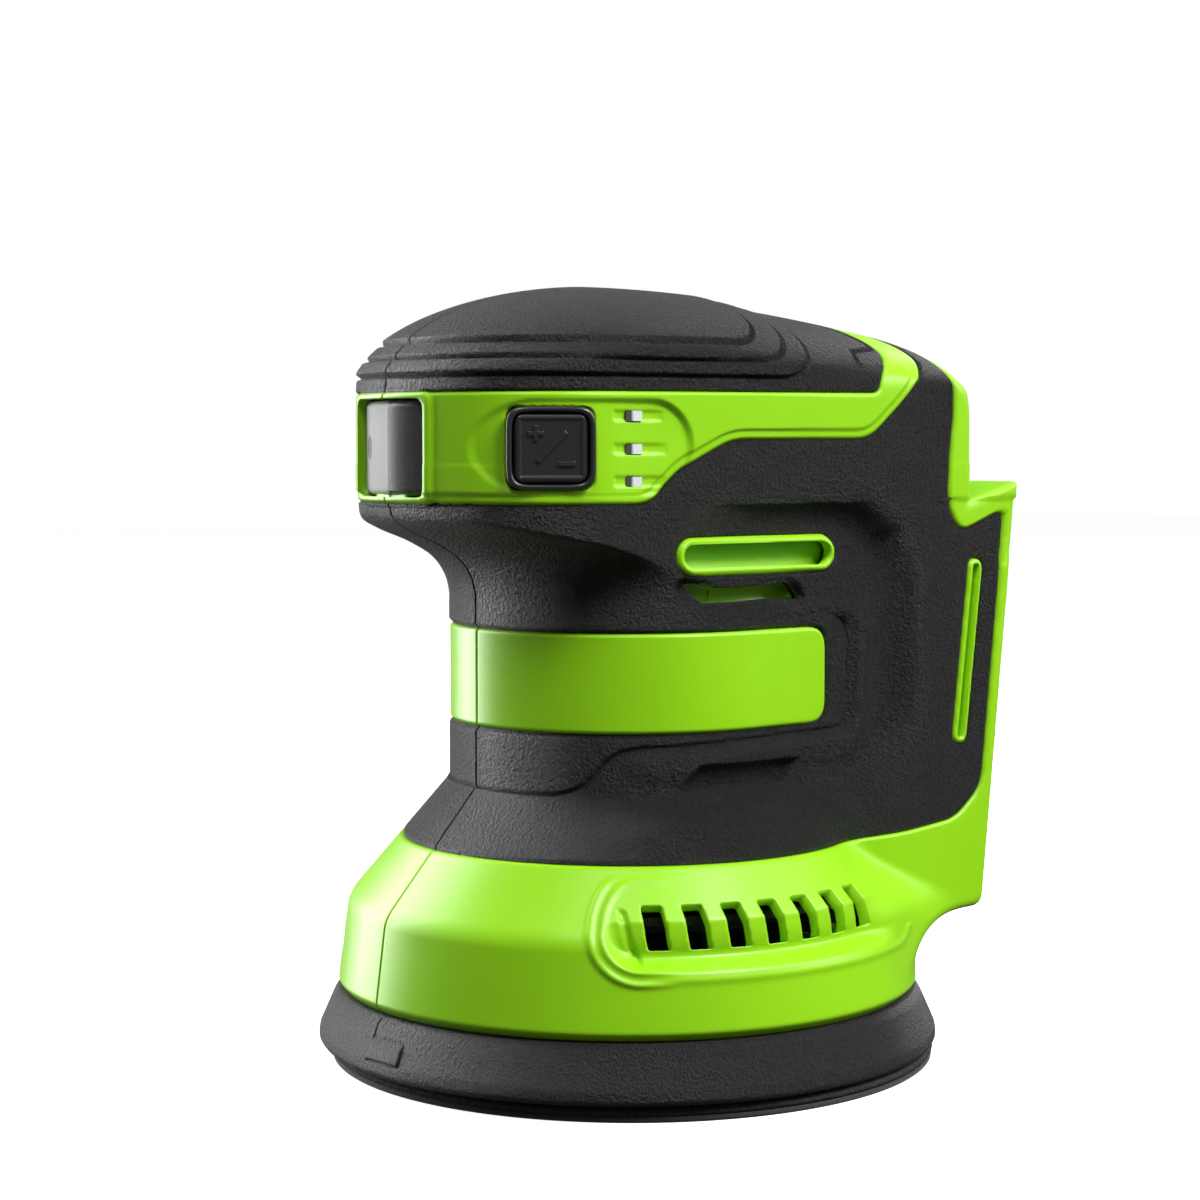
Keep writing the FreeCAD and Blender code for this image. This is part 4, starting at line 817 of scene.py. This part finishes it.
def pad_slab(edge):
    """Round slab with through holes; edge gives the rim's (radius, height) from bottom to top."""
    rim_r = edge[0][0]
    angle = np.linspace(0, 2 * math.pi, 361)
    r, a = np.meshgrid(np.linspace(0.6, rim_r, 78), angle, indexing="ij")
    x, y = r * np.cos(a), r * np.sin(a)
    for _ in range(3):
        field = hole_distance(x, y)
        h = 0.02
        slope_x = (hole_distance(x + h, y) - field) / h
        slope_y = (hole_distance(x, y + h) - field) / h
        close = np.abs(field) < 0.42
        x = np.where(close, x - field * slope_x, x)
        y = np.where(close, y - field * slope_y, y)
    x[0], y[0] = 0.0, 0.0
    solid = cell_mean(hole_distance(x, y)) >= 0
    number = np.arange(x.size).reshape(x.shape)
    number[:, -1] = number[:, 0]
    number[0, :] = number[0, 0]
    used, local = np.unique(grid_quads(number)[solid], return_inverse=True)
    quads = local.reshape(-1, 4)
    x, y = x.reshape(-1)[used], y.reshape(-1)[used]
    count = len(used)
    border = rim_edges(quads, count)
    on_rim = np.hypot(x, y) > rim_r - 0.05
    levels = []
    for radius, height in edge:
        pull = np.where(on_rim, radius / rim_r, 1.0)
        levels.append(np.stack([x * pull + PAD_X, y * pull, np.full(count, height)], -1))
    faces = [quads[:, ::-1], quads + count * (len(edge) - 1)]
    for k in range(len(edge) - 1):
        lower, upper = border + k * count, border + (k + 1) * count
        faces.append(np.concatenate([lower, upper[:, ::-1]], 1))
    return np.concatenate(levels), np.concatenate(faces)


FOAM_EDGE = [
    (61.9, 1.25), (62.35, 1.5), (62.5, 1.9), (62.4, 2.4), (61.7, 2.9), (60.0, 3.2), (58.9, 3.5),
    (58.6, 4.4), (58.3, 5.6), (57.9, 6.8), (57.6, 7.8), (57.2, 8.5),
]
foam = lay_mesh("foam_pad", *pad_slab(FOAM_EDGE), "pad", "pad_foam", ("pad_foam",))
FACING_EDGE = [(61.9, 0.0), (62.25, 0.25), (62.3, 0.7), (62.1, 1.2)]
facing = lay_mesh("hook_face", *pad_slab(FACING_EDGE), "pad", "hook_fabric", ("hook_facing",))

# %% [markdown]
# ## Controls
# The power rocker sits behind a smoky cover that bends softly in the middle. The
# speed button is a square cap in a rounded bezel, with raised signs.

# %% The smoky cover


def fillet_drop(share):
    """How far a unit quarter circle lies below its top; share runs from 0 at the top to 1."""
    return 1 - np.sqrt(np.clip(1 - np.clip(share, 0, 1) ** 2, 0, 1))


def cushion(half_u, half_v, radius, count):
    """Grid over a rounded rectangle, bent to follow its corners, and the distance to its border."""
    s = np.linspace(-1, 1, count)
    u, v = np.meshgrid(s, s, indexing="ij")
    limit_u = half_u - radius * fillet_drop((np.abs(v) * half_v - half_v + radius) / radius)
    limit_v = half_v - radius * fillet_drop((np.abs(u) * half_u - half_u + radius) / radius)
    border = np.minimum((1 - np.abs(u)) * half_u, (1 - np.abs(v)) * half_v)
    return u * limit_u, v * limit_v, border


def shut(points, back):
    """Plate from a front grid and a back grid of the same size, with its border closed."""
    n, m = points.shape[:2]
    number = np.arange(n * m).reshape(n, m)
    loop = np.concatenate([number[:-1, 0], number[-1, :-1], number[:0:-1, -1], number[0, :0:-1]])
    after = np.roll(loop, -1)
    front = grid_quads(number).reshape(-1, 4)
    rear = front[:, ::-1] + n * m
    wall = np.stack([after, loop, loop + n * m, after + n * m], -1)
    verts = np.concatenate([points.reshape(-1, 3), back.reshape(-1, 3)])
    return verts, np.concatenate([front, rear, wall])


def cover_mesh():
    """Front cover: two flat-ish halves that meet in a soft crease, rounded at the rim."""
    y, z, rim = cushion(12.0, 9.2, 2.0, 120)
    bend = 0.007 * y ** 2 + 0.07 * np.abs(y)
    x = bend - (HEAD_FRONT + 0.1) + 0.9 * fillet_drop(1 - rim / 1.4)
    front = np.stack([x, y, z + SWITCH_Z], -1)
    back = np.stack([x + 0.4, y * 0.98, z * 0.98 + SWITCH_Z], -1)
    return shut(front[:, ::-1], back[:, ::-1])


lay_mesh("smoky_window", *cover_mesh(), "housing", "smoky_cover", ("switch_cover",))

# %% Bezel and button
OUT = np.array([-math.cos(BUTTON_TURN), -math.sin(BUTTON_TURN), 0.0])
ALONG = np.array([math.sin(BUTTON_TURN), -math.cos(BUTTON_TURN), 0.0])
FACE = np.array([BUTTON_AT[0], -BUTTON_AT[1], BUTTON_AT[2]])


def on_corner(out, along, up):
    """Point from distances out of the corner, along it and up."""
    return FACE + out[..., None] * OUT + along[..., None] * ALONG + up[..., None] * np.array([0, 0, 1.0])


def loft(levels, count=128):
    """Skin through rounded rectangles, each given as half width, half height and distance out."""
    t = np.linspace(0, 2 * math.pi, count, endpoint=False)
    cos, sin = np.cos(t), np.sin(t)
    power = 6.0
    scale = (np.abs(cos) ** power + np.abs(sin) ** power) ** (-1 / power)
    u, v = cos * scale, sin * scale
    rings = [on_corner(out + 0 * u, u * half_u, v * half_v) for half_u, half_v, out in levels]
    return np.concatenate(rings), grid_faces(len(levels), count, wrap=True)


BEZEL_LEVELS = [
    (8.45, 7.85, -2.5), (8.5, 7.9, 0.0), (8.45, 7.85, 0.5), (8.2, 7.6, 0.85), (7.95, 7.35, 0.93),
    (7.7, 7.1, 0.88), (7.45, 6.85, 0.6), (7.32, 6.92, 0.0), (7.3, 6.9, -3.0),
]
lay_mesh("button_frame", *loft(BEZEL_LEVELS), "housing", "gloss_black", ("button_bezel",))


def button_mesh():
    """Cap: a cushion with a rolled rim and a dished face, with plus, stroke and minus raised on it."""
    half_u, half_v = 6.95, 6.55
    u, v, rim = cushion(half_u, half_v, 1.2, 300)
    out = 0.62 - 0.9 * fillet_drop(1 - rim / 0.9)
    inner = np.minimum(half_u - np.abs(u), half_v - np.abs(v))
    out = out - 0.28 * step(inner, 1.0, 1.5)
    turn = math.radians(46)
    along, across = u * math.cos(turn) + v * math.sin(turn), v * math.cos(turn) - u * math.sin(turn)
    marks = np.minimum.reduce([
        plate_field(along - 0.2, across, 3.9, 0.42, 0.1),
        plate_field(u + 2.9, v - 2.7, 1.5, 0.38, 0.1),
        plate_field(u + 2.9, v - 2.7, 0.38, 1.5, 0.1),
        plate_field(u - 2.9, v + 3.0, 1.6, 0.42, 0.1),
    ])
    out = out + 0.34 * step(-marks, -0.06, 0.06)
    return shut(on_corner(out, u, v), on_corner(np.full(u.shape, -5.5), u, v))


lay_mesh("speed_key", *button_mesh(), "speed_button", "gloss_black", ("speed_button",))

# %% [markdown]
# ## Finishes
# Shader maths reads best as ordinary expressions, so a small class wraps a socket
# and turns each operator into a Math node. A second one keeps a material's node
# tree, and adds any other node from its type, settings and inputs.

# %% Wires and boards


class Wire:
    """A value that runs through a material; + - * / and ** on it add Math nodes."""

    def __init__(self, board, socket):
        self.board, self.socket = board, socket

    def math(self, operation, *others):
        return self.board.add("ShaderNodeMath", {"operation": operation}, dict(enumerate(others)))

    def __add__(self, other):
        return self.math("ADD", self, other)

    def __sub__(self, other):
        return self.math("SUBTRACT", self, other)

    def __mul__(self, other):
        return self.math("MULTIPLY", self, other)

    def __truediv__(self, other):
        return self.math("DIVIDE", self, other)

    def __pow__(self, other):
        return self.math("POWER", self, other)

    __radd__, __rmul__ = __add__, __mul__

    def between(self, low, high):
        """0 below low, 1 above high, straight in between."""
        values = {"Value": self, "From Min": low, "From Max": high}
        return self.board.add("ShaderNodeMapRange", {"clamp": True}, values)


class Board:
    """A material's nodes, ending in one Principled shader whose constants are set directly."""

    def __init__(self, name, colour, roughness, **constants):
        self.material = bpy.data.materials.new(name)
        self.material.use_nodes = True
        self.tree = self.material.node_tree
        self.tree.nodes.clear()
        out = self.tree.nodes.new("ShaderNodeOutputMaterial")
        self.shader = self.tree.nodes.new("ShaderNodeBsdfPrincipled")
        self.tree.links.new(self.shader.outputs[0], out.inputs[0])
        self.set("Base Color", (*colour, 1.0))
        self.set("Roughness", roughness)
        for socket, value in constants.items():
            self.set(socket.replace("_", " "), value)
        self.material.diffuse_color = (*colour, 1.0)
        self.place = self.add("ShaderNodeTexCoord", {}, {}, "Object")

    def set(self, socket, value):
        """Feed one of the shader's sockets with a number, a colour or a wire."""
        self.feed(self.shader.inputs[socket], value)

    def feed(self, socket, value):
        if isinstance(value, Wire):
            self.tree.links.new(value.socket, socket)
        else:
            socket.default_value = value

    def add(self, kind, settings, values, out=0):
        node = self.tree.nodes.new(kind)
        for key, value in settings.items():
            setattr(node, key, value)
        for key, value in values.items():
            self.feed(node.inputs[key], value)
        return Wire(self, node.outputs[out])

    def noise(self, scale, detail=3.0, rough=0.55):
        """Smooth noise of the given cells per metre, from 0 to 1."""
        values = {"Vector": self.place, "Scale": scale, "Detail": detail, "Roughness": rough}
        return self.add("ShaderNodeTexNoise", {}, values)

    def blend(self, share, first, second):
        """Colour that goes from first to second."""
        return self.add("ShaderNodeMix", {"data_type": "RGBA"}, {0: share, 6: first, 7: second}, 2)

    def relief(self, height, depth):
        """Bump of the given depth in metres from a height between 0 and 1."""
        values = {"Height": height, "Distance": depth, "Strength": 1.0}
        self.set("Normal", self.add("ShaderNodeBump", {}, values))

    def axis(self, letter):
        """X, Y or Z of the point, in metres."""
        return self.add("ShaderNodeSeparateXYZ", {}, {0: self.place}, letter)


def tone(red, green, blue):
    """Linear colour from the 0 to 255 numbers of a colour picker."""
    shares = [c / 255 for c in (red, green, blue)]
    return tuple(c / 12.92 if c <= 0.04 else ((c + 0.055) / 1.055) ** 2.4 for c in shares)


def shade(colour, factor):
    """The same colour, lighter or darker, with alpha."""
    return (*(min(1.0, c * factor) for c in colour), 1.0)


finishes = {}

# %% [markdown]
# ### Moulded plastics
# The lime shell is a satin ABS: a fine spark-eroded texture, a slight mottle in the
# pigment, and hands leave it a little shinier in patches. The grip is a soft
# elastomer with a coarse leather-like texture that breaks the highlights into specks,
# and the tops of its pebbles are painted lighter as painted highlights.

# %% Shell, grip and rubber


def satin(name, colour, roughness, grain, depth, patch=0.1, mottle=0.06, **constants):
    """Moulded plastic; patch varies the roughness and mottle the pigment."""
    board = Board(name, colour, roughness, **constants)
    broad = board.noise(38.0, 4.0)
    fine = board.noise(grain, 2.0, 0.6)
    specks = board.noise(grain * 0.45, 4.0, 0.7)
    dark, light = shade(colour, 1 - mottle), shade(colour, 1 + mottle)
    board.set("Base Color", board.blend(broad.between(0.3, 0.7), dark, light))
    board.set("Roughness", roughness - patch / 2 + patch * broad + 0.04 * specks)
    board.relief(fine * 0.6 + specks * 0.4, depth)
    finishes[name] = board.material
    return board


LIME = tone(142, 208, 12)
satin("lime_plastic", LIME, 0.34, 2600.0, 0.00003, 0.12, 0.03, Specular_IOR_Level=0.45)


def leather_texture(name, colour, roughness, grain, depth, tone_and_highlight_spread):
    """Soft elastomer: rounded pebbles over finer grain, their tops painted lighter as painted highlights,
    with a broad random tone.
    """
    board = Board(name, colour, roughness, Specular_IOR_Level=0.40)
    pebbles = board.noise(grain, 3.0, 0.72)
    fine = board.noise(grain * 3.1, 2.0)
    broad = board.noise(30.0, 3.0)
    height = pebbles.between(0.32, 0.68)
    dark, light = shade(colour, 1 - tone_and_highlight_spread), shade(colour, 1 + tone_and_highlight_spread)
    # painted highlight: pebble tops are coloured lighter by their height; the broad noise adds a random tone
    board.set("Base Color", board.blend(height * 0.7 + broad * 0.3, dark, light))
    board.set("Roughness", roughness + 0.1 * broad - 0.12 * height)
    board.relief(height * 0.8 + fine * 0.2, depth)
    finishes[name] = board.material


leather_texture("soft_grip", tone(22, 22, 23), 0.44, 1400.0, 0.00075, 0.45)
leather_texture("skirt_rubber", tone(26, 26, 27), 0.48, 1600.0, 0.0005, 0.35)
satin("black_plastic", tone(30, 31, 32), 0.45, 2200.0, 0.00003, 0.15, 0.1)
satin("grey_plastic", tone(70, 72, 74), 0.45, 2200.0, 0.00003, 0.15, 0.1)
satin("gloss_black", tone(38, 38, 40), 0.28, 900.0, 0.000006, 0.10, 0.08,
      Coat_Weight=0.3, Coat_Roughness=0.15)
print("plastics", sorted(finishes))

# %% [markdown]
# ### Window, lamps and foam
# The switch cover is a smoky plastic. Its right half is pressed in and shows the
# rocker faintly; the left half is painted a light grey as a painted reflection, is
# rougher and less clear, and carries the dark oval mark.

# %% Window, lamps and foam


def smoky():
    """Smoky plastic; a mask on Y paints one half light grey as a painted reflection and makes it rougher and
    opaque, and an ellipse round the mark's centre darkens it.
    """
    board = Board("smoky_cover", tone(60, 60, 62), 0.16, Specular_IOR_Level=0.35)
    y, z = board.axis("Y"), board.axis("Z")
    painted_reflection_half = y.between(-0.0008, 0.0006)
    mark = (((y - 0.0088) / 0.0013) ** 2 + ((z - 0.1252) / 0.0024) ** 2).between(1.15, 0.85)
    streaks = board.noise(90.0, 4.0)
    # painted reflection: the left half's colour is a light grey standing in for a bright light mirrored in
    # that face
    plain = board.blend(painted_reflection_half, shade(tone(46, 46, 48), 1.0), shade(tone(120, 121, 123), 1.0))
    board.set("Base Color", board.blend(mark, plain, shade(tone(12, 12, 12), 1.0)))
    board.set("Roughness", 0.16 + 0.34 * painted_reflection_half + 0.08 * streaks)
    board.set("Alpha", 0.80 + 0.2 * painted_reflection_half)
    finishes["smoky_cover"] = board.material


smoky()
lens = satin("clear_lens", tone(205, 208, 210), 0.12, 600.0, 0.00001, 0.06, 0.05, Coat_Weight=0.5)
lit_half = lens.axis("X").between(-0.0242, -0.0236)
lens.set("Base Color", lens.blend(lit_half, shade(tone(70, 72, 74), 1.0), shade(tone(215, 216, 218), 1.0)))


def foam_finish():
    """Closed-cell foam: small round cells, their sunk middles painted darker as painted shade."""
    board = Board("pad_foam", tone(30, 30, 31), 0.85)
    cells = board.add("ShaderNodeTexVoronoi", {"feature": "F1"}, {"Vector": board.place, "Scale": 900.0})
    broad = board.noise(60.0)
    middle, rim = shade(tone(18, 18, 18), 1.0), shade(tone(38, 38, 39), 1.0)
    # painted shade: each cell's sunk middle is coloured darker than its rim
    board.set("Base Color", board.blend(cells.between(0.1, 0.6), middle, rim))
    board.set("Roughness", 0.8 + 0.12 * broad)
    board.relief(cells, 0.0002)
    finishes["pad_foam"] = board.material


def hook_finish():
    """Hook fabric: rows of stiff loops, seen as a fine woven grid with tufts."""
    board = Board("hook_fabric", tone(38, 38, 40), 0.9, Sheen_Weight=0.2)
    weave_x = (board.axis("X") * 5200.0).math("SINE")
    weave_y = (board.axis("Y") * 5200.0).math("SINE")
    tufts = board.noise(1400.0, 3.0)
    weave = weave_x * weave_y * 0.5 + 0.5
    dark, light = shade(tone(20, 20, 21), 1.0), shade(tone(60, 60, 62), 1.0)
    board.set("Base Color", board.blend(weave * 0.6 + tufts * 0.4, dark, light))
    board.set("Roughness", 0.8 + 0.15 * tufts)
    board.relief(weave * 0.6 + tufts * 0.6, 0.0003)
    finishes["hook_fabric"] = board.material


foam_finish()
hook_finish()

# %% [markdown]
# ### Metals
# The inner metals show through the vents and the battery pocket. Turned steel keeps
# faint rings, stacked laminations show their sheets, and copper wire its turns.

# %% Metals and the board


def metal(name, colour, roughness, stretch):
    """Bare metal with noise drawn out along one direction, as a tool leaves it."""
    board = Board(name, colour, roughness, Metallic=1.0)
    drawn = board.add("ShaderNodeMapping", {}, {"Vector": board.place, "Scale": stretch})
    lines = board.add("ShaderNodeTexNoise", {}, {"Vector": drawn, "Scale": 420.0, "Detail": 4.0})
    tarnish = board.noise(140.0, 4.0)
    board.set("Base Color", board.blend(tarnish.between(0.35, 0.7), shade(colour, 0.82), shade(colour, 1.05)))
    board.set("Roughness", roughness - 0.06 + 0.14 * lines + 0.06 * tarnish)
    board.relief(lines, 0.00001)
    finishes[name] = board.material


METALS = {
    "plated_steel": ((176, 178, 180), 0.3, (1, 1, 12)), "screw_steel": ((92, 94, 98), 0.35, (1, 8, 1)),
    "spring_steel": ((150, 152, 155), 0.3, (6, 6, 1)), "bearing_steel": ((196, 198, 200), 0.18, (1, 1, 20)),
    "lamination_steel": ((120, 122, 126), 0.45, (1, 1, 30)), "cast_alloy": ((168, 170, 172), 0.5, (1, 1, 1)),
    "copper_wire": ((196, 116, 72), 0.35, (1, 1, 30)), "contact_brass": ((212, 178, 98), 0.25, (1, 1, 8)),
}
for name, (picked, roughness, stretch) in METALS.items():
    metal(name, tone(*picked), roughness, stretch)
satin("dark_magnet", tone(52, 52, 56), 0.5, 1200.0, 0.00002)
satin("carbon", tone(26, 26, 28), 0.6, 1500.0, 0.00003)
satin("wire_red", tone(170, 28, 24), 0.4, 900.0, 0.00002)
satin("board_green", tone(24, 92, 52), 0.35, 700.0, 0.00002, 0.1, 0.2)
print(len(finishes), "finishes")

# %% [markdown]
# ## Dressing
# Every new piece takes the finish of its slot, and so does every mechanical solid
# that still shows.

# %% Give each piece its finish
for name, piece in made.items():
    piece.data.materials.append(finishes[slot_names[name]])
dressed = 0
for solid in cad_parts.values():
    for place in solid.material_slots:
        base = place.material.name.split(".")[0]
        if base in finishes and place.material is not finishes[base]:
            place.material = finishes[base]
            dressed += 1
print(dressed, "solids dressed")

# %% [markdown]
# ## Studio
# A pale floor runs into a pale surround. A tall soft box on the left draws the bright
# edge of the neck and base. One on the right and one high in front model the body,
# and three weaker ones, upper left, overhead and right rear, fill the palm and the
# far side.

# %% Floor, lights and camera
scene = bpy.context.scene
floor_mesh = bpy.data.meshes.new("floor")
floor_mesh.from_pydata([(-3, -3, 0), (3, -3, 0), (3, 3, 0), (-3, 3, 0)], [], [(0, 1, 2, 3)])
floor = bpy.data.objects.new("floor", floor_mesh)
scene.collection.objects.link(floor)
paper = Board("floor_paper", (0.92, 0.92, 0.92), 0.9)
paper.set("Base Color", paper.blend(paper.noise(3.0), (0.86, 0.86, 0.86, 1), (0.90, 0.90, 0.90, 1)))
paper.set("Emission Color", (1, 1, 1, 1))
paper.set("Emission Strength", 0.85)
floor.data.materials.append(paper.material)
floor.visible_diffuse = False
floor.visible_glossy = False


def aim(place, target):
    """Rotation that points an object's -Z from place to target."""
    return (Vector(target) - Vector(place)).to_track_quat("-Z", "Y").to_euler()


def soft_box(name, place, width, height, power):
    """White rectangular area light, aimed at the middle of the tool."""
    light = bpy.data.lights.new(name, "AREA")
    light.shape, light.size, light.size_y = "RECTANGLE", width, height
    light.energy = power
    lamp = bpy.data.objects.new(name, light)
    lamp.location, lamp.rotation_euler = place, aim(place, (0.0, 0.0, 0.075))
    scene.collection.objects.link(lamp)


soft_box("left_back_box", (-0.36, 0.72, 0.30), 0.5, 0.9, 14.0)
soft_box("right_front_box", (0.95, -0.70, 0.70), 0.5, 0.6, 8.0)
soft_box("front_top_box", (0.22, -0.80, 0.95), 0.4, 0.4, 15.0)
soft_box("upper_left_box", (-0.45, -0.40, 1.00), 0.25, 0.25, 3.5)
soft_box("overhead_box", (0.1, 0.25, 1.1), 0.9, 0.6, 3.0)
soft_box("right_back_box", (0.9, 0.45, 0.35), 0.3, 0.8, 3.0)

world = bpy.data.worlds.new("pale_surround")
world.use_nodes = True
ray = world.node_tree.nodes.new("ShaderNodeLightPath")
glow = world.node_tree.nodes.new("ShaderNodeMapRange")
world.node_tree.links.new(ray.outputs["Is Camera Ray"], glow.inputs["Value"])
glow.inputs["To Min"].default_value, glow.inputs["To Max"].default_value = 0.13, 1.0
backdrop = world.node_tree.nodes["Background"]
backdrop.inputs["Color"].default_value = (1, 1, 1, 1)
world.node_tree.links.new(glow.outputs[0], backdrop.inputs["Strength"])
scene.world = world
scene.view_settings.view_transform = "Standard"

LOOK_DOWN = math.radians(3.52)
LOOK_ROUND = math.radians(35)
lens_data = bpy.data.cameras.new("camera")
lens_data.lens, lens_data.sensor_width = 77.43, 36.0
lens_data.shift_x = -0.02275
lens_data.clip_start = 0.01
camera = bpy.data.objects.new("camera", lens_data)
camera.location = (-0.3063, -0.4374, 0.1265)
camera.rotation_euler = (math.pi / 2 - LOOK_DOWN, 0, -LOOK_ROUND)
scene.collection.objects.link(camera)
scene.camera = camera
